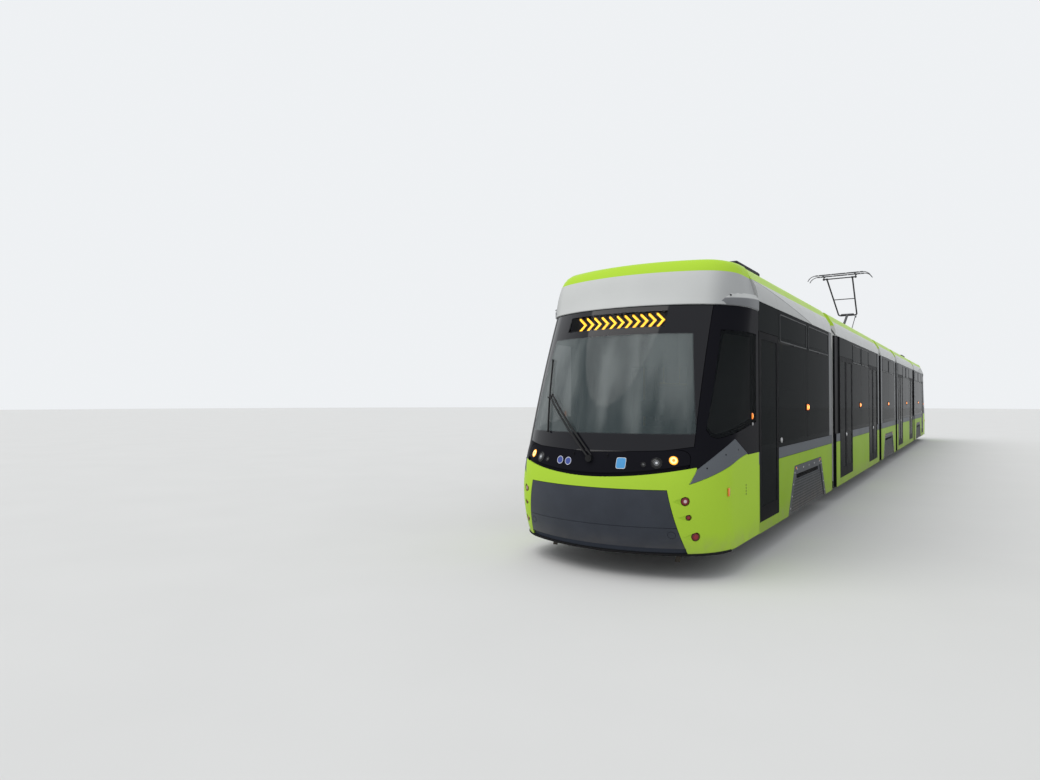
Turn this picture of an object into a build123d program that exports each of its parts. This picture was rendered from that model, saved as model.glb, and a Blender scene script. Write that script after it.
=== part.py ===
"""Five-section articulated low-floor tram, bidirectional, with cab sections at both ends.

Millimetres. +X points to the front cab, +Y to the tram's left side, +Z up. The origin is the
centre of the centre car on the floor that the wheel flanges stand on. Heights are given above
the rail head, which lies one flange depth above that floor. The rear half is the front half
turned half a turn about Z.
"""
from build123d import *
import math
import os

os.makedirs("parts", exist_ok=True)

# Rail, wheels and axles
GAUGE = 1435.0
FLANGE_DEPTH = 28.0
WHEEL_DIA = 590.0
WHEEL_WIDTH = 115.0
BACK_TO_BACK = 1360.0
WHEELBASE = 1850.0
AXLE_DIA = 120.0
JOURNAL_DIA = 110.0
JOURNAL_GAP = 0.5

# Car bodies along the row
CENTRE_LEN = 3600.0
MID_LEN = 6200.0
NOSE_LEN = 1940.0
GANGWAY = 460.0
CAB_BOGIE_FROM_JOINT = 2150.0

# Cross-section of a car
WIDTH = 2500.0
WALL = 60.0
SKIRT_H = 243.0
SILL_H = 370.0
FLOOR_H = 350.0
BELT_H = 1215.0
BAND_LOW_H = 1065.0
SEAM = 5.0
SEAM_DEPTH = 6.0
END_POST = 230.0
HEADER_H = 2655.0
GLASS_TOP_H = 3010.0
FAIRING_TOP_H = 3310.0
FAIRING_HALF = 1065.0
ROOF_EDGE_H = 3440.0
ROOF_EDGE_HALF = 1025.0
FAIRING_SKIN = 40.0
DECK = 50.0
FLOOR_SLAB = 130.0

# Glass, doors and panels
PANE = 20.0
PANE_GAP = 10.0
POST = 70.0
LEAF = 45.0
LIP = 30.0
DOOR_RAIL = 85.0
COVER = 40.0
CAB_DOOR_W = 920.0
DOUBLE_DOOR_W = 1490.0
CAB_DOOR_FROM_JOINT = 4450.0
DOOR_POST = 30.0
MID_DOOR_FROM_CENTRE = 1970.0

# Wheel covers
COVER_H = 900.0
COVER_FOOT = 2680.0
COVER_TOP = 1900.0
COVER_RIM = 120.0
COVER_GAP = 4.0
COVER_SINK = 15.0

# Wheel boxes and raised floor above a bogie
AXLE_CLEAR = 145.0
WHEEL_CLEAR = 130.0
BOX_LEN = 2760.0
AISLE_HALF = 600.0
SHEET = 30.0

# Gangway, pivots and bellows
PORTAL_HALF = 650.0
PORTAL_H = 2350.0
END_WALL = 50.0
TURNTABLE_R = 640.0
TURNTABLE_GAP = 12.0
PIVOT_R = 60.0
PIVOT_GAP = 0.5
ARM_W = 260.0
ARM_T = 40.0
ROOF_PIVOT_R = 35.0
ROOF_ARM_W = 160.0
BELLOWS_INSET = 100.0
BELLOWS_WALL = 90.0
BELLOWS_TOP_H = 2960.0
BELLOWS_FOOT_H = 300.0
BELLOWS_FOLDS = 7
BELLOWS_SEAT = 0.3
FOLD_DEPTH = 35.0

# Pantograph on the centre car
PANTO_PIVOT_X = 90.0
PANTO_PIVOT_H = 3750.0
KNEE_X = -1280.0
KNEE_H = 4500.0
HEAD_X = 100.0
HEAD_H = 5440.0
KNEE_HALF = 257.0
HEAD_HALF = 345.0
KNEE_BAR_BACK = 85.0
KNEE_BEND_R = 75.0
STRIP_LEN = 1270.0
HORN_HALF = 850.0
ARM_TUBE_R = 35.0
FRAME_TUBE_R = 18.0
LEG_TUBE_R = 22.0
PIN_R = 14.0
PIN_GAP = 0.5
EYE_R = 34.0
ROD_Y = 210.0
ROD_FOOT_BACK = 210.0
ROD_FOOT_DROP = 110.0
LEVER_BACK = 64.0
LEVER_DROP = 77.0
KNEE_PIN_HALF = 190.0

HALF = WIDTH / 2
RAIL = FLANGE_DEPTH
INSIDE = HALF - WALL
WHEEL_R = WHEEL_DIA / 2
AXLE_Z = RAIL + WHEEL_R
DECK_Z = RAIL + GLASS_TOP_H
DECK_TOP_Z = DECK_Z + DECK
FLOOR_Z = RAIL + FLOOR_H
BOX_FLOOR_H = WHEEL_DIA / 2 + AXLE_CLEAR
BOX_H = WHEEL_DIA + WHEEL_CLEAR
BELLOWS_HALF = HALF - BELLOWS_INSET

# Places along the row, front half
CENTRE_END = CENTRE_LEN / 2
JOINT_1 = CENTRE_END + GANGWAY / 2
MID_START = CENTRE_END + GANGWAY
MID_END = MID_START + MID_LEN
MID_CENTRE = MID_START + MID_LEN / 2
JOINT_2 = MID_END + GANGWAY / 2
CAB_START = MID_END + GANGWAY
CAB_BOGIE_X = JOINT_2 + CAB_BOGIE_FROM_JOINT
CAB_DOOR_X = JOINT_2 + CAB_DOOR_FROM_JOINT
NOSE_BACK = CAB_DOOR_X + CAB_DOOR_W / 2 + DOOR_POST
NOSE_TIP = NOSE_BACK + NOSE_LEN

# Plan of the nose at each height: height above the rail, setback of the tip, half-width and
# setback of the shoulder, setback where the side becomes straight, half-width
NOSE_PLAN = [
    (250.0, 160.0, 830.0, 200.0, 870.0, HALF),
    (930.0, 0.0, 830.0, 210.0, 930.0, HALF),
    (1300.0, 100.0, 840.0, 230.0, 950.0, HALF),
    (2100.0, 370.0, 860.0, 250.0, 1000.0, HALF),
    (GLASS_TOP_H, 800.0, 900.0, 270.0, 950.0, HALF),
    (FAIRING_TOP_H, 930.0, 790.0, 250.0, 970.0, FAIRING_HALF),
    (ROOF_EDGE_H, 1130.0, 740.0, 220.0, 760.0, ROOF_EDGE_HALF),
]
BROW_FOOT_H = 2900.0
BROW_TOP_H = 3085.0
BUMPER_TOP_H = 920.0
BUMPER_TOP_HALF = 810.0
BUMPER_FOOT_H = 310.0
BUMPER_FOOT_HALF = 930.0
SHELL_SKIN = 60.0
PANEL_SKIN = 40.0
CAB_WINDOW_DEPTH = 550.0
BUMPER_SEAM_H = 530.0
TOW_COVER_Y = 830.0
TOW_COVER_H = 459.0
TOW_COVER_R = 38.0
LAMP_PANEL_HALF = 985.0
PANEL_FOOT_H = 1030.0
PANEL_FOOT_RISE = 100.0
PANEL_SHADOW_GAP = 42.0

# Lamps on one side of the nose: half-width, height, radius, turn outwards in degrees, and
# length of the teardrop hollow that runs from the lamp towards the middle of the nose
LAMPS = [
    (576.0, 1169.0, 24.0, 0.0, 0.0),
    (695.0, 1186.0, 55.0, 0.0, 0.0),
    (843.0, 1213.0, 50.0, 20.0, 0.0),
    (966.0, 806.0, 45.0, 40.0, 110.0),
    (989.0, 641.0, 29.0, 42.0, 98.0),
    (1030.0, 438.0, 45.0, 45.0, 105.0),
]
LAMP_GAP = 1.5
LAMP_SINK = 20.0
LAMP_STAND = 4.0
HOLLOW_GAP = 3.0

# Corner trim in the side view: setback from the nose tip and height above the rail, from the
# front foot along the lower edge to the rear, then by the raised tip along the upper edge
TRIM = [(338.0, 977.0), (670.0, 1086.0), (1475.0, 1227.0), (1020.0, 1411.0), (650.0, 1255.0), (424.0, 1118.0)]

# Wiper: half-width and height of the spindle, the elbow of the arms, the blade's middle, top and foot
WIPER_SPINDLE = (5.0, 1215.0)
WIPER_MID = (-680.0, 1860.0)
WIPER_TOP = (-815.0, 2310.0)
WIPER_FOOT = (-640.0, 1475.0)


def block(x0, x1, y0, y1, z0, z1):
    """Box between two corners."""
    return Pos((x0 + x1) / 2, (y0 + y1) / 2, (z0 + z1) / 2) * Box(abs(x1 - x0), abs(y1 - y0), abs(z1 - z0))


def both_sides(shape):
    """The shape and its mirror image across the middle of the tram."""
    return [shape, mirror(shape, about=Plane.XZ)]


def plate_xz(points, y0, y1):
    """Flat outline in the side view, carried across from y0 to y1."""
    outline = make_face(Polyline([(x, y0, z) for x, z in points] + [(points[0][0], y0, points[0][1])]))
    return extrude(outline, amount=y1 - y0, dir=(0, 1, 0))


def plate_yz(points, x0, x1):
    """Flat outline in the end view, carried along from x0 to x1."""
    outline = make_face(Polyline([(x0, y, z) for y, z in points] + [(x0, points[0][0], points[0][1])]))
    return extrude(outline, amount=x1 - x0, dir=(1, 0, 0))


def tube(a, b, r):
    """Round bar from point a to point b."""
    a, b = Vector(a), Vector(b)
    return Plane(origin=(a + b) / 2, z_dir=b - a) * Cylinder(r, (b - a).length)


def add(*shapes):
    """Fuse shapes, or lists of shapes, into one."""
    flat = []
    for shape in shapes:
        flat += list(shape) if isinstance(shape, (list, tuple)) else [shape]
    total = flat[0]
    for shape in flat[1:]:
        total = total + shape
    return total


def save(name, *shapes):
    """Write the solids of the shapes as one sub-part."""
    solids = []
    for shape in shapes:
        for piece in (shape if isinstance(shape, (list, tuple)) else [shape]):
            solids += list(piece.solids())
    export_step(Compound(solids), f"parts/{name}.step")


def save_both_ends(stem, *shapes):
    """Write the front sub-part, and its copy turned half a turn for the rear."""
    flat = []
    for shape in shapes:
        flat += list(shape) if isinstance(shape, (list, tuple)) else [shape]
    save(f"front_{stem}", flat)
    save(f"rear_{stem}", [shape.rotate(Axis.Z, 180) for shape in flat])


# Side walls, windows and doors

def trapezoid(centre, foot, top, z0, z1):
    """Corners of a trapezoid that stands on its longer side."""
    return [(centre - foot / 2, z0), (centre + foot / 2, z0), (centre + top / 2, z1), (centre - top / 2, z1)]


def cover_outline(centre, inset, drop=0.0):
    """Outline of a wheel cover, smaller by the inset at its sides and top; drop lowers its foot."""
    slope = (COVER_FOOT - COVER_TOP) / 2 / (COVER_H - SKIRT_H)
    side = inset * math.hypot(1.0, slope)
    top_half = COVER_TOP / 2 + slope * inset - side
    foot_half = COVER_FOOT / 2 + slope * drop - side
    return trapezoid(centre, 2 * foot_half, 2 * top_half, RAIL + SKIRT_H - drop, RAIL + COVER_H - inset)


def door_cut(x0, x1):
    """Opening for a door in the left wall: the leaf's own depth, then a lip all round inside."""
    z0, z1 = RAIL + SILL_H, RAIL + HEADER_H
    outer = block(x0, x1, HALF - LEAF, HALF + 1, z0, z1)
    inner = block(x0 + LIP, x1 - LIP, INSIDE - 1, HALF, z0 + LIP, z1 - LIP)
    return outer + inner


def side_wall(x0, x1, glass_x0, glass_x1, doors, panes, cover=None):
    """Left wall: green lower panel, set-back frame behind the glass, openings for doors and windows."""
    wall = block(x0, x1, INSIDE, HALF, RAIL + SKIRT_H, DECK_Z)
    wall = wall - block(glass_x0, glass_x1, HALF - PANE, HALF + 1, RAIL + BELT_H, DECK_Z + 1)
    for seam_h in (BAND_LOW_H, BELT_H - SEAM):
        wall = wall - block(x0 - 1, x1 + 1, HALF - SEAM_DEPTH, HALF + 1, RAIL + seam_h, RAIL + seam_h + SEAM)
    for centre, width in doors:
        wall = wall - door_cut(centre - width / 2, centre + width / 2)
    for p0, p1 in panes:
        wall = wall - block(p0 + POST, p1 - POST, INSIDE - 1, HALF, RAIL + BELT_H + POST, RAIL + HEADER_H)
    if cover is not None:
        wall = wall - plate_xz(cover_outline(cover, 0.0, 10.0), HALF - COVER, HALF + 1)
        wall = wall - plate_xz(cover_outline(cover, LIP, 10.0), INSIDE - 1, HALF)
    return wall


def end_frame(x0, x1):
    """Wall across the end of a car with the gangway portal cut in it."""
    frame = block(x0, x1, -INSIDE, INSIDE, FLOOR_Z, DECK_Z)
    portal = block(x0 - 1, x1 + 1, -PORTAL_HALF, PORTAL_HALF, RAIL, RAIL + PORTAL_H)
    return frame - portal


def pane_run(spans, z0, z1):
    """Flush glass panes on the left side for a list of start and end places."""
    half = PANE_GAP / 2
    return [block(a + half, b - half, HALF - PANE, HALF, z0, z1) for a, b in spans]


def door_leaf(x0, x1):
    """One door leaf with its glass cut out, and the pane that fills it."""
    gap = PANE_GAP / 2
    z0, z1 = RAIL + SILL_H + gap, RAIL + HEADER_H - gap
    leaf = block(x0 + gap, x1 - gap, HALF - LEAF, HALF, z0, z1)
    glass = (x0 + gap + DOOR_RAIL, x1 - gap - DOOR_RAIL, z0 + 2 * DOOR_RAIL, z1 - DOOR_RAIL)
    leaf = leaf - block(glass[0], glass[1], HALF - LEAF - 1, HALF + 1, glass[2], glass[3])
    pane = block(glass[0], glass[1], HALF - LEAF + 12.0, HALF - 6.0, glass[2], glass[3])
    return leaf, pane


# Floors, wheel boxes and gangway pivots

def floor_slab(x0, x1):
    """Low floor between the side walls."""
    return block(x0, x1, -INSIDE, INSIDE, FLOOR_Z - FLOOR_SLAB, FLOOR_Z)


def bogie_floor(centre):
    """Raised floor and the two wheel boxes above a bogie, hollow underneath."""
    x0, x1 = centre - BOX_LEN / 2, centre + BOX_LEN / 2
    top = RAIL + BOX_H
    raised = RAIL + BOX_FLOOR_H
    points = [(INSIDE, FLOOR_Z - FLOOR_SLAB), (INSIDE, top), (AISLE_HALF, top), (AISLE_HALF, raised)]
    points += [(-y, z) for y, z in reversed(points)]
    body = plate_yz(points, x0, x1)
    side = INSIDE - SHEET
    inner = [(side, 0.0), (side, top - SHEET), (AISLE_HALF + SHEET, top - SHEET)]
    inner += [(AISLE_HALF + SHEET, raised - SHEET)]
    inner += [(-y, z) for y, z in reversed(inner)]
    return body - plate_yz(inner, x0 + SHEET, x1 - SHEET)


def parent_pivot(x, end, sense):
    """Turntable, pivot post and lower arm of the car that carries the joint at x.

    end is the car's end face, and sense is +1 where the joint lies towards +X of it."""
    low = FLOOR_Z - 120.0
    arm = block(end - sense * 300.0, x, -ARM_W / 2, ARM_W / 2, low, low + ARM_T)
    eye = Pos(x, 0, low + ARM_T / 2) * Cylinder(ARM_W / 2, ARM_T)
    post = Pos(x, 0, (low + FLOOR_Z) / 2) * Cylinder(PIVOT_R, FLOOR_Z - low)
    disc = Pos(x, 0, FLOOR_Z - 10.0) * Cylinder(TURNTABLE_R, 20.0)
    return arm + eye + post + disc


def child_pivot(x, end, sense):
    """Upper arm with its eye round the pivot post, on the car that turns at x.

    sense is +1 where the car lies towards +X of the joint."""
    low = FLOOR_Z - 72.0
    arm = block(x, end + sense * (TURNTABLE_R - GANGWAY / 2 + 80.0), -ARM_W / 2, ARM_W / 2, low, low + ARM_T)
    eye = Pos(x, 0, low + ARM_T / 2) * Cylinder(ARM_W / 2, ARM_T)
    bore = Pos(x, 0, low + ARM_T / 2) * Cylinder(PIVOT_R + PIVOT_GAP, ARM_T + 2)
    return (arm + eye) - bore


def turntable_bay(x):
    """Round bay in the turning car's floor, clear of the turntable."""
    depth = FLOOR_SLAB + 2
    return Pos(x, 0, FLOOR_Z - FLOOR_SLAB / 2) * Cylinder(TURNTABLE_R + TURNTABLE_GAP, depth)


# Roofs

def roof_channel(x0, x1):
    """Roof deck with a leaning fairing and a rounded edge rail along each side."""
    skin = FAIRING_SKIN
    half = [
        (HALF, DECK_Z),
        (FAIRING_HALF, RAIL + FAIRING_TOP_H),
        (ROOF_EDGE_HALF, RAIL + ROOF_EDGE_H),
        (ROOF_EDGE_HALF - skin, RAIL + ROOF_EDGE_H),
        (FAIRING_HALF - 1.4 * skin, RAIL + FAIRING_TOP_H),
        (HALF - 2.2 * skin, DECK_TOP_Z),
    ]
    return plate_yz(half + [(-y, z) for y, z in reversed(half)], x0, x1)


def roof_arm_parent(x, end, sense):
    """Upper arm on the roof of the car that carries the joint, with its eye."""
    low = DECK_TOP_Z + 60.0
    arm = block(end - sense * 350.0, x, -ROOF_ARM_W / 2, ROOF_ARM_W / 2, low, low + ARM_T)
    eye = Pos(x, 0, low + ARM_T / 2) * Cylinder(ROOF_ARM_W / 2, ARM_T)
    foot = block(end - sense * 350.0, end - sense * 150.0, -ROOF_ARM_W / 2, ROOF_ARM_W / 2, DECK_TOP_Z - 5,
                 low)
    bore = Pos(x, 0, low + ARM_T / 2) * Cylinder(ROOF_PIVOT_R + PIVOT_GAP, ARM_T + 2)
    return (arm + eye + foot) - bore


def roof_arm_child(x, end, sense):
    """Lower arm on the roof of the car that turns, with the pin."""
    low = DECK_TOP_Z + 8.0
    arm = block(x, end + sense * 350.0, -ROOF_ARM_W / 2, ROOF_ARM_W / 2, low, low + ARM_T)
    eye = Pos(x, 0, low + ARM_T / 2) * Cylinder(ROOF_ARM_W / 2, ARM_T)
    foot = block(end + sense * 150.0, end + sense * 350.0, -ROOF_ARM_W / 2, ROOF_ARM_W / 2, DECK_TOP_Z - 5,
                 low)
    pin_top = DECK_TOP_Z + 60.0 + ARM_T + 12.0
    pin = Pos(x, 0, (low + pin_top) / 2) * Cylinder(ROOF_PIVOT_R, pin_top - low)
    return arm + eye + foot + pin


def roof_box(x0, x1, half, top, fans=()):
    """Equipment container on the roof deck: a chamfered lid with cross ribs, and round wells for fans."""
    box = block(x0, x1, -half, half, DECK_TOP_Z, RAIL + top)
    box = chamfer(box.edges().group_by(Axis.Z)[-1], 25.0)
    count = max(2, round((x1 - x0) / 420.0))
    for i in range(count):
        x = x0 + (i + 0.5) * (x1 - x0) / count
        if all(abs(x - fan) > 270.0 for fan in fans):
            box = box + block(x - 20, x + 20, -half + 60, half - 60, RAIL + top - 2, RAIL + top + 12)
    for fan in fans:
        well = Pos(fan, 0, RAIL + top) * (Cylinder(240.0, 120.0) - Cylinder(60.0, 120.0))
        spokes = [Pos(fan, 0, RAIL + top - 10) * Rot(0, 0, 45 * k) * Box(500.0, 14.0, 16.0) for k in range(4)]
        box = add(box - well, spokes)
    return box


# Bogies and wheelsets

def coil_stack(z0, z1, wide, narrow, turns):
    """Round stack of wide and narrow discs with sloping flanks: a coil spring or a ribbed insulator."""
    pitch = (z1 - z0) / turns
    points = [(0, z0), (narrow, z0)]
    for i in range(turns):
        points += [(wide, z0 + (i + 0.35) * pitch), (wide, z0 + (i + 0.65) * pitch),
                   (narrow, z0 + (i + 1) * pitch)]
    points.append((0, z1))
    outline = make_face(Polyline([(r, 0, z) for r, z in points] + [(0, 0, z0)]))
    return revolve(outline, Axis.Z, 360)


def wheelset(x):
    """Two flanged wheels on an axle with a journal at each end."""
    r = WHEEL_R
    inner = BACK_TO_BACK / 2
    outer = inner + WHEEL_WIDTH
    rim = 55.0
    profile = [
        (0, inner), (85.0, inner), (85.0, inner + 30), (r - rim, inner + 45), (r - rim, inner),
        (r + FLANGE_DEPTH - 6, inner), (r + FLANGE_DEPTH, inner + 12), (r + FLANGE_DEPTH, inner + 18),
        (r + 6, inner + 32), (r, inner + 40), (r - 3, outer), (r - rim, outer), (r - rim, inner + 75),
        (95.0, inner + 60), (95.0, outer + 20), (0, outer + 20),
    ]
    outline = make_face(Polyline([(p[0], p[1], 0) for p in profile] + [(0, inner, 0)]))
    wheel = revolve(outline, Axis.Y, 360)
    axle = Rot(90, 0, 0) * Cylinder(AXLE_DIA / 2, 2 * inner + 2)
    ends = Rot(90, 0, 0) * Cylinder(JOURNAL_DIA / 2, 2 * 950.0)
    whole = add(axle, ends, both_sides(wheel))
    return Pos(x, 0, AXLE_Z) * whole


def bogie_frame(x):
    """Outside side beams with axle boxes, two transoms, drive block, springs and rail brakes."""
    half_base = WHEELBASE / 2
    y0, y1 = 850.0, 945.0
    zc = WHEEL_R
    arch = [
        (-half_base - 60, zc + 90), (-half_base + 300, zc + 60), (-420, zc - 60), (420, zc - 60),
        (half_base - 300, zc + 60), (half_base + 60, zc + 90), (half_base + 60, zc + 150),
        (half_base - 330, zc + 150), (520, zc + 90), (-520, zc + 90), (-half_base + 330, zc + 150),
        (-half_base - 60, zc + 150),
    ]
    beam = plate_xz(arch, y0, y1)
    for s in (-1, 1):
        box = block(s * half_base - 120, s * half_base + 120, y0, y1, zc - 115, zc + 120)
        bore = Pos(s * half_base, 900.0, zc) * Rot(90, 0, 0) * Cylinder(JOURNAL_DIA / 2 + JOURNAL_GAP, 200)
        beam = (beam + box) - bore
    spring = Pos(0, 898.0, 0) * coil_stack(zc + 85, BOX_H - SHEET, 85.0, 68.0, 5)
    cover = Pos(0, y1 + 11, zc) * Rot(90, 0, 0) * Cylinder(92.0, 24)
    cover = cover - Pos(0, y1, zc) * Rot(90, 0, 0) * Cylinder(JOURNAL_DIA / 2 + 5.0, 22)
    covers = [Pos(s * half_base, 0, 0) * cover for s in (-1, 1)]
    brake = block(-430, 430, GAUGE / 2 - 45, GAUGE / 2 + 45, 12.0, 120.0)
    hanger = block(-60, 60, GAUGE / 2 - 30, GAUGE / 2 + 30, 118.0, zc - 40)
    transoms = [block(s * 330 - 70, s * 330 + 70, -y0 - 5, y0 + 5, zc - 55, zc + 75) for s in (-1, 1)]
    drive = block(-265, 265, -430, 430, zc - 130, zc + 80)
    tie = block(-265, 265, GAUGE / 2 - 40, GAUGE / 2 + 40, zc - 60, zc + 20)
    frame = add(transoms, drive, both_sides(beam), both_sides(spring), both_sides(tie))
    frame = add(frame, both_sides(hanger), both_sides(brake), both_sides(covers[0]), both_sides(covers[1]))
    return Pos(x, 0, RAIL) * frame


def wheel_cover(x):
    """Trapezoid cover over the wheels: raised rim, set-back panel and a slot along its top."""
    top = RAIL + COVER_H - COVER_RIM
    cover = plate_xz(cover_outline(x, COVER_GAP), HALF - COVER, HALF)
    cover = cover - plate_xz(cover_outline(x, COVER_RIM, 1.0), HALF - COVER_SINK, HALF + 1)
    slot_half = COVER_TOP / 2 - COVER_RIM - 60.0
    return cover - block(x - slot_half, x + slot_half, HALF - COVER - 1, HALF, top - 75, top - 15)


# Seats and cab fittings

def seat_shell(x, facing, y0, y1, z):
    """One seat: curved shell of cushion and leaning back, with rounded top corners."""
    f = facing
    front, bend, back = x + f * 230, x - f * 170, x - f * 270
    under = ThreePointArc((bend - f * 60, y0, z + 60), (bend - f * 30, y0, z + 15), (bend + f * 40, y0, z))
    lower = Line((bend + f * 40, y0, z), (front - f * 20, y0, z + 30))
    lip = ThreePointArc((front - f * 20, y0, z + 30), (front, y0, z + 60), (front - f * 25, y0, z + 90))
    top = Line((front - f * 25, y0, z + 90), (bend + f * 70, y0, z + 80))
    inner = ThreePointArc((bend + f * 70, y0, z + 80), (bend + f * 22, y0, z + 98), (bend, y0, z + 140))
    rest = Line((bend, y0, z + 140), (back + f * 35, y0, z + 700))
    crown = ThreePointArc((back + f * 35, y0, z + 700), (back + f * 8, y0, z + 722),
                          (back - f * 15, y0, z + 700))
    rear = Line((back - f * 15, y0, z + 700), (bend - f * 60, y0, z + 60))
    shell = extrude(make_face([under, lower, lip, top, inner, rest, crown, rear]), amount=y1 - y0,
                    dir=(0, 1, 0))
    return shell


def seat(x, facing, z0, rise, y=890.0, wide=460.0):
    """Seat on a pedestal of the given rise."""
    z1 = z0 + rise
    pedestal = block(x - 120, x + 150, y - 110, y + 110, z0, z1 + 30)
    beam = block(x - 60, x + 60, y - wide / 2 + 40, y + wide / 2 - 40, z1 + 5, z1 + 45)
    return add(pedestal, beam, seat_shell(x, facing, y - wide / 2, y + wide / 2, z1))


# Nose

def nose_wire(level, skin):
    """Plan outline of the nose at one height: straight sides, corner arcs and a wide front arc."""
    z, tip_back, shoulder, shoulder_back, corner_back, half = level
    tip = NOSE_TIP - tip_back - skin
    half = half - skin
    shoulder = shoulder - 0.35 * skin
    xs = tip - shoulder_back
    xc = NOSE_TIP - tip_back - corner_back
    zz = RAIL + z
    back = NOSE_BACK
    front = ThreePointArc((xs, -shoulder, zz), (tip, 0, zz), (xs, shoulder, zz))
    left = TangentArc((xc, half, zz), (xs, shoulder, zz), tangent=(1, 0, 0))
    right = TangentArc((xc, -half, zz), (xs, -shoulder, zz), tangent=(1, 0, 0))
    rim = Polyline((xc, -half, zz), (back, -half, zz), (back, half, zz), (xc, half, zz))
    return make_face([front, left, right, rim])


def nose_body(skin, drop):
    """Solid of the nose, inset by the skin; drop lowers its top face and sinks its foot."""
    levels = [list(level) for level in NOSE_PLAN]
    levels[-1][0] -= drop
    if drop:
        levels[0][0] -= 60.0
    faces = [nose_wire(level, skin) for level in levels]
    lower = loft(faces[0:3])
    middle = loft(faces[2:5])
    fascia = loft(faces[4:6], ruled=True)
    cap = loft(faces[5:7], ruled=True)
    return lower + middle + fascia + cap


def front_prism(points):
    """Front-view outline carried back through the face of the nose."""
    return plate_yz(points, NOSE_TIP - 1500.0, NOSE_TIP + 100.0)


def windscreen_outline(grow):
    """Front view of the windscreen: upright sides and a foot that dips in the middle."""
    half, top = 1000.0 + grow, RAIL + 2880.0 + grow
    low_side, low_mid = RAIL + 1345.0 - grow, RAIL + 1278.0 - grow
    return [(-half, low_side), (-0.75 * half, RAIL + 1307.0 - grow), (0, low_mid),
            (0.75 * half, RAIL + 1307.0 - grow), (half, low_side), (half, top), (-half, top)]


def bumper_outline(gap, foot):
    """Front view of the bumper panel, wider towards its foot."""
    top = BUMPER_TOP_H - gap
    spread = (BUMPER_FOOT_HALF - BUMPER_TOP_HALF) / (BUMPER_TOP_H - BUMPER_FOOT_H)
    top_half = BUMPER_TOP_HALF + spread * gap - gap
    foot_half = BUMPER_TOP_HALF + spread * (BUMPER_TOP_H - foot) - gap
    return [(-foot_half, RAIL + foot), (foot_half, RAIL + foot), (top_half, RAIL + top),
            (-top_half, RAIL + top)]


def cab_window_outline(grow):
    """Side view of the cab side window in the corner of the nose."""
    x0, x1 = NOSE_BACK + 110.0 - grow, NOSE_TIP - 610.0 + grow
    z0, z1 = RAIL + 1425.0 - grow, RAIL + 2600.0 + grow
    return [(x0, z0 + 150.0), (x1 - 100.0, z0), (x1 - 30.0, z0 + 25.0), (x1, z0 + 95.0), (x1 - 450.0, z1),
            (x0, z1)]


def corner_trim_face(grow):
    """Side view of the slanted trim on the nose's corner: two long curved edges and two straight ends."""
    foot, low, rear, tip, high, front = [(NOSE_TIP - back, 0, RAIL + h) for back, h in TRIM]
    edges = [ThreePointArc(foot, low, rear), Line(rear, tip), ThreePointArc(tip, high, front),
             Line(front, foot)]
    face = make_face(edges)
    return offset(face, grow) if grow else face


def across(face, y0, y1):
    """Side-view face carried across from y0 to y1."""
    return Pos(0, y0, 0) * extrude(face, amount=y1 - y0, dir=(0, 1, 0))


def along(face, x0, x1):
    """Front-view face carried along from x0 to x1."""
    return Pos(x0, 0, 0) * extrude(face, amount=x1 - x0, dir=(1, 0, 0))


def panel_foot(y, lift=0.0):
    """Point on the lower edge of the lamp panel in the front view; the edge rises towards the corners."""
    return (0, y, RAIL + PANEL_FOOT_H + lift + PANEL_FOOT_RISE * (y / LAMP_PANEL_HALF) ** 2)


def panel_gap_face():
    """Front view of the shadow gap under the lamp panel: a band between two arcs."""
    half, gap = LAMP_PANEL_HALF, PANEL_SHADOW_GAP
    low = ThreePointArc(panel_foot(-half), panel_foot(0), panel_foot(half))
    high = ThreePointArc(panel_foot(-half, gap), panel_foot(0, gap), panel_foot(half, gap))
    ends = [Line(panel_foot(s * half), panel_foot(s * half, gap)) for s in (-1, 1)]
    return make_face([low, high] + ends)


def panel_end_face(grow):
    """Front view of the rounded end of the lamp panel on the left side."""
    half, top = LAMP_PANEL_HALF + grow, RAIL + 1318.0 + grow
    foot = panel_foot(half)
    bend = ThreePointArc((0, half - 95.0, top), (0, half - 22.0, top - 38.0), (0, half, top - 110.0))
    side = Line((0, half, top - 110.0), foot)
    base = Line(foot, (0, 0, foot[2]))
    inner = Line((0, 0, foot[2]), (0, 0, top))
    return make_face([bend, side, base, inner, Line((0, 0, top), (0, half - 95.0, top))])


def nose_level(h):
    """Plan of the nose at a height: the curve through three levels that the smooth lofts follow,
    and straight between the levels of the fascia and of the roof edge."""
    if h > NOSE_PLAN[4][0]:
        rows = NOSE_PLAN[4:6] if h <= NOSE_PLAN[5][0] else NOSE_PLAN[5:7]
    else:
        rows = NOSE_PLAN[0:3] if h <= NOSE_PLAN[2][0] else NOSE_PLAN[2:5]
    plan = [h] + [0.0] * 5
    for row in rows:
        weight = 1.0
        for other in rows:
            if other is not row:
                weight *= (h - other[0]) / (row[0] - other[0])
        plan = [h] + [value + weight * size for value, size in zip(plan[1:], row[1:])]
    return plan


def brow_pods():
    """Housings over the cab side windows: upright below, they fade out where the fascia is as wide."""
    plan = nose_wire(nose_level(BROW_FOOT_H), 0.0)
    upright = extrude(plan, amount=BROW_TOP_H - BROW_FOOT_H, dir=(0, 0, 1))
    x0, x1 = NOSE_BACK, NOSE_TIP - 1100.0
    z0, z1 = RAIL + BROW_FOOT_H, RAIL + BROW_TOP_H
    side_view = [(x0, z0), (x1, z0), (x1 - 110.0, z1 - 85.0), (x0 + 40.0, z1), (x0, z1 - 30.0)]
    return [upright & piece for piece in both_sides(plate_xz(side_view, FAIRING_HALF - 120.0, HALF))]


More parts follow.
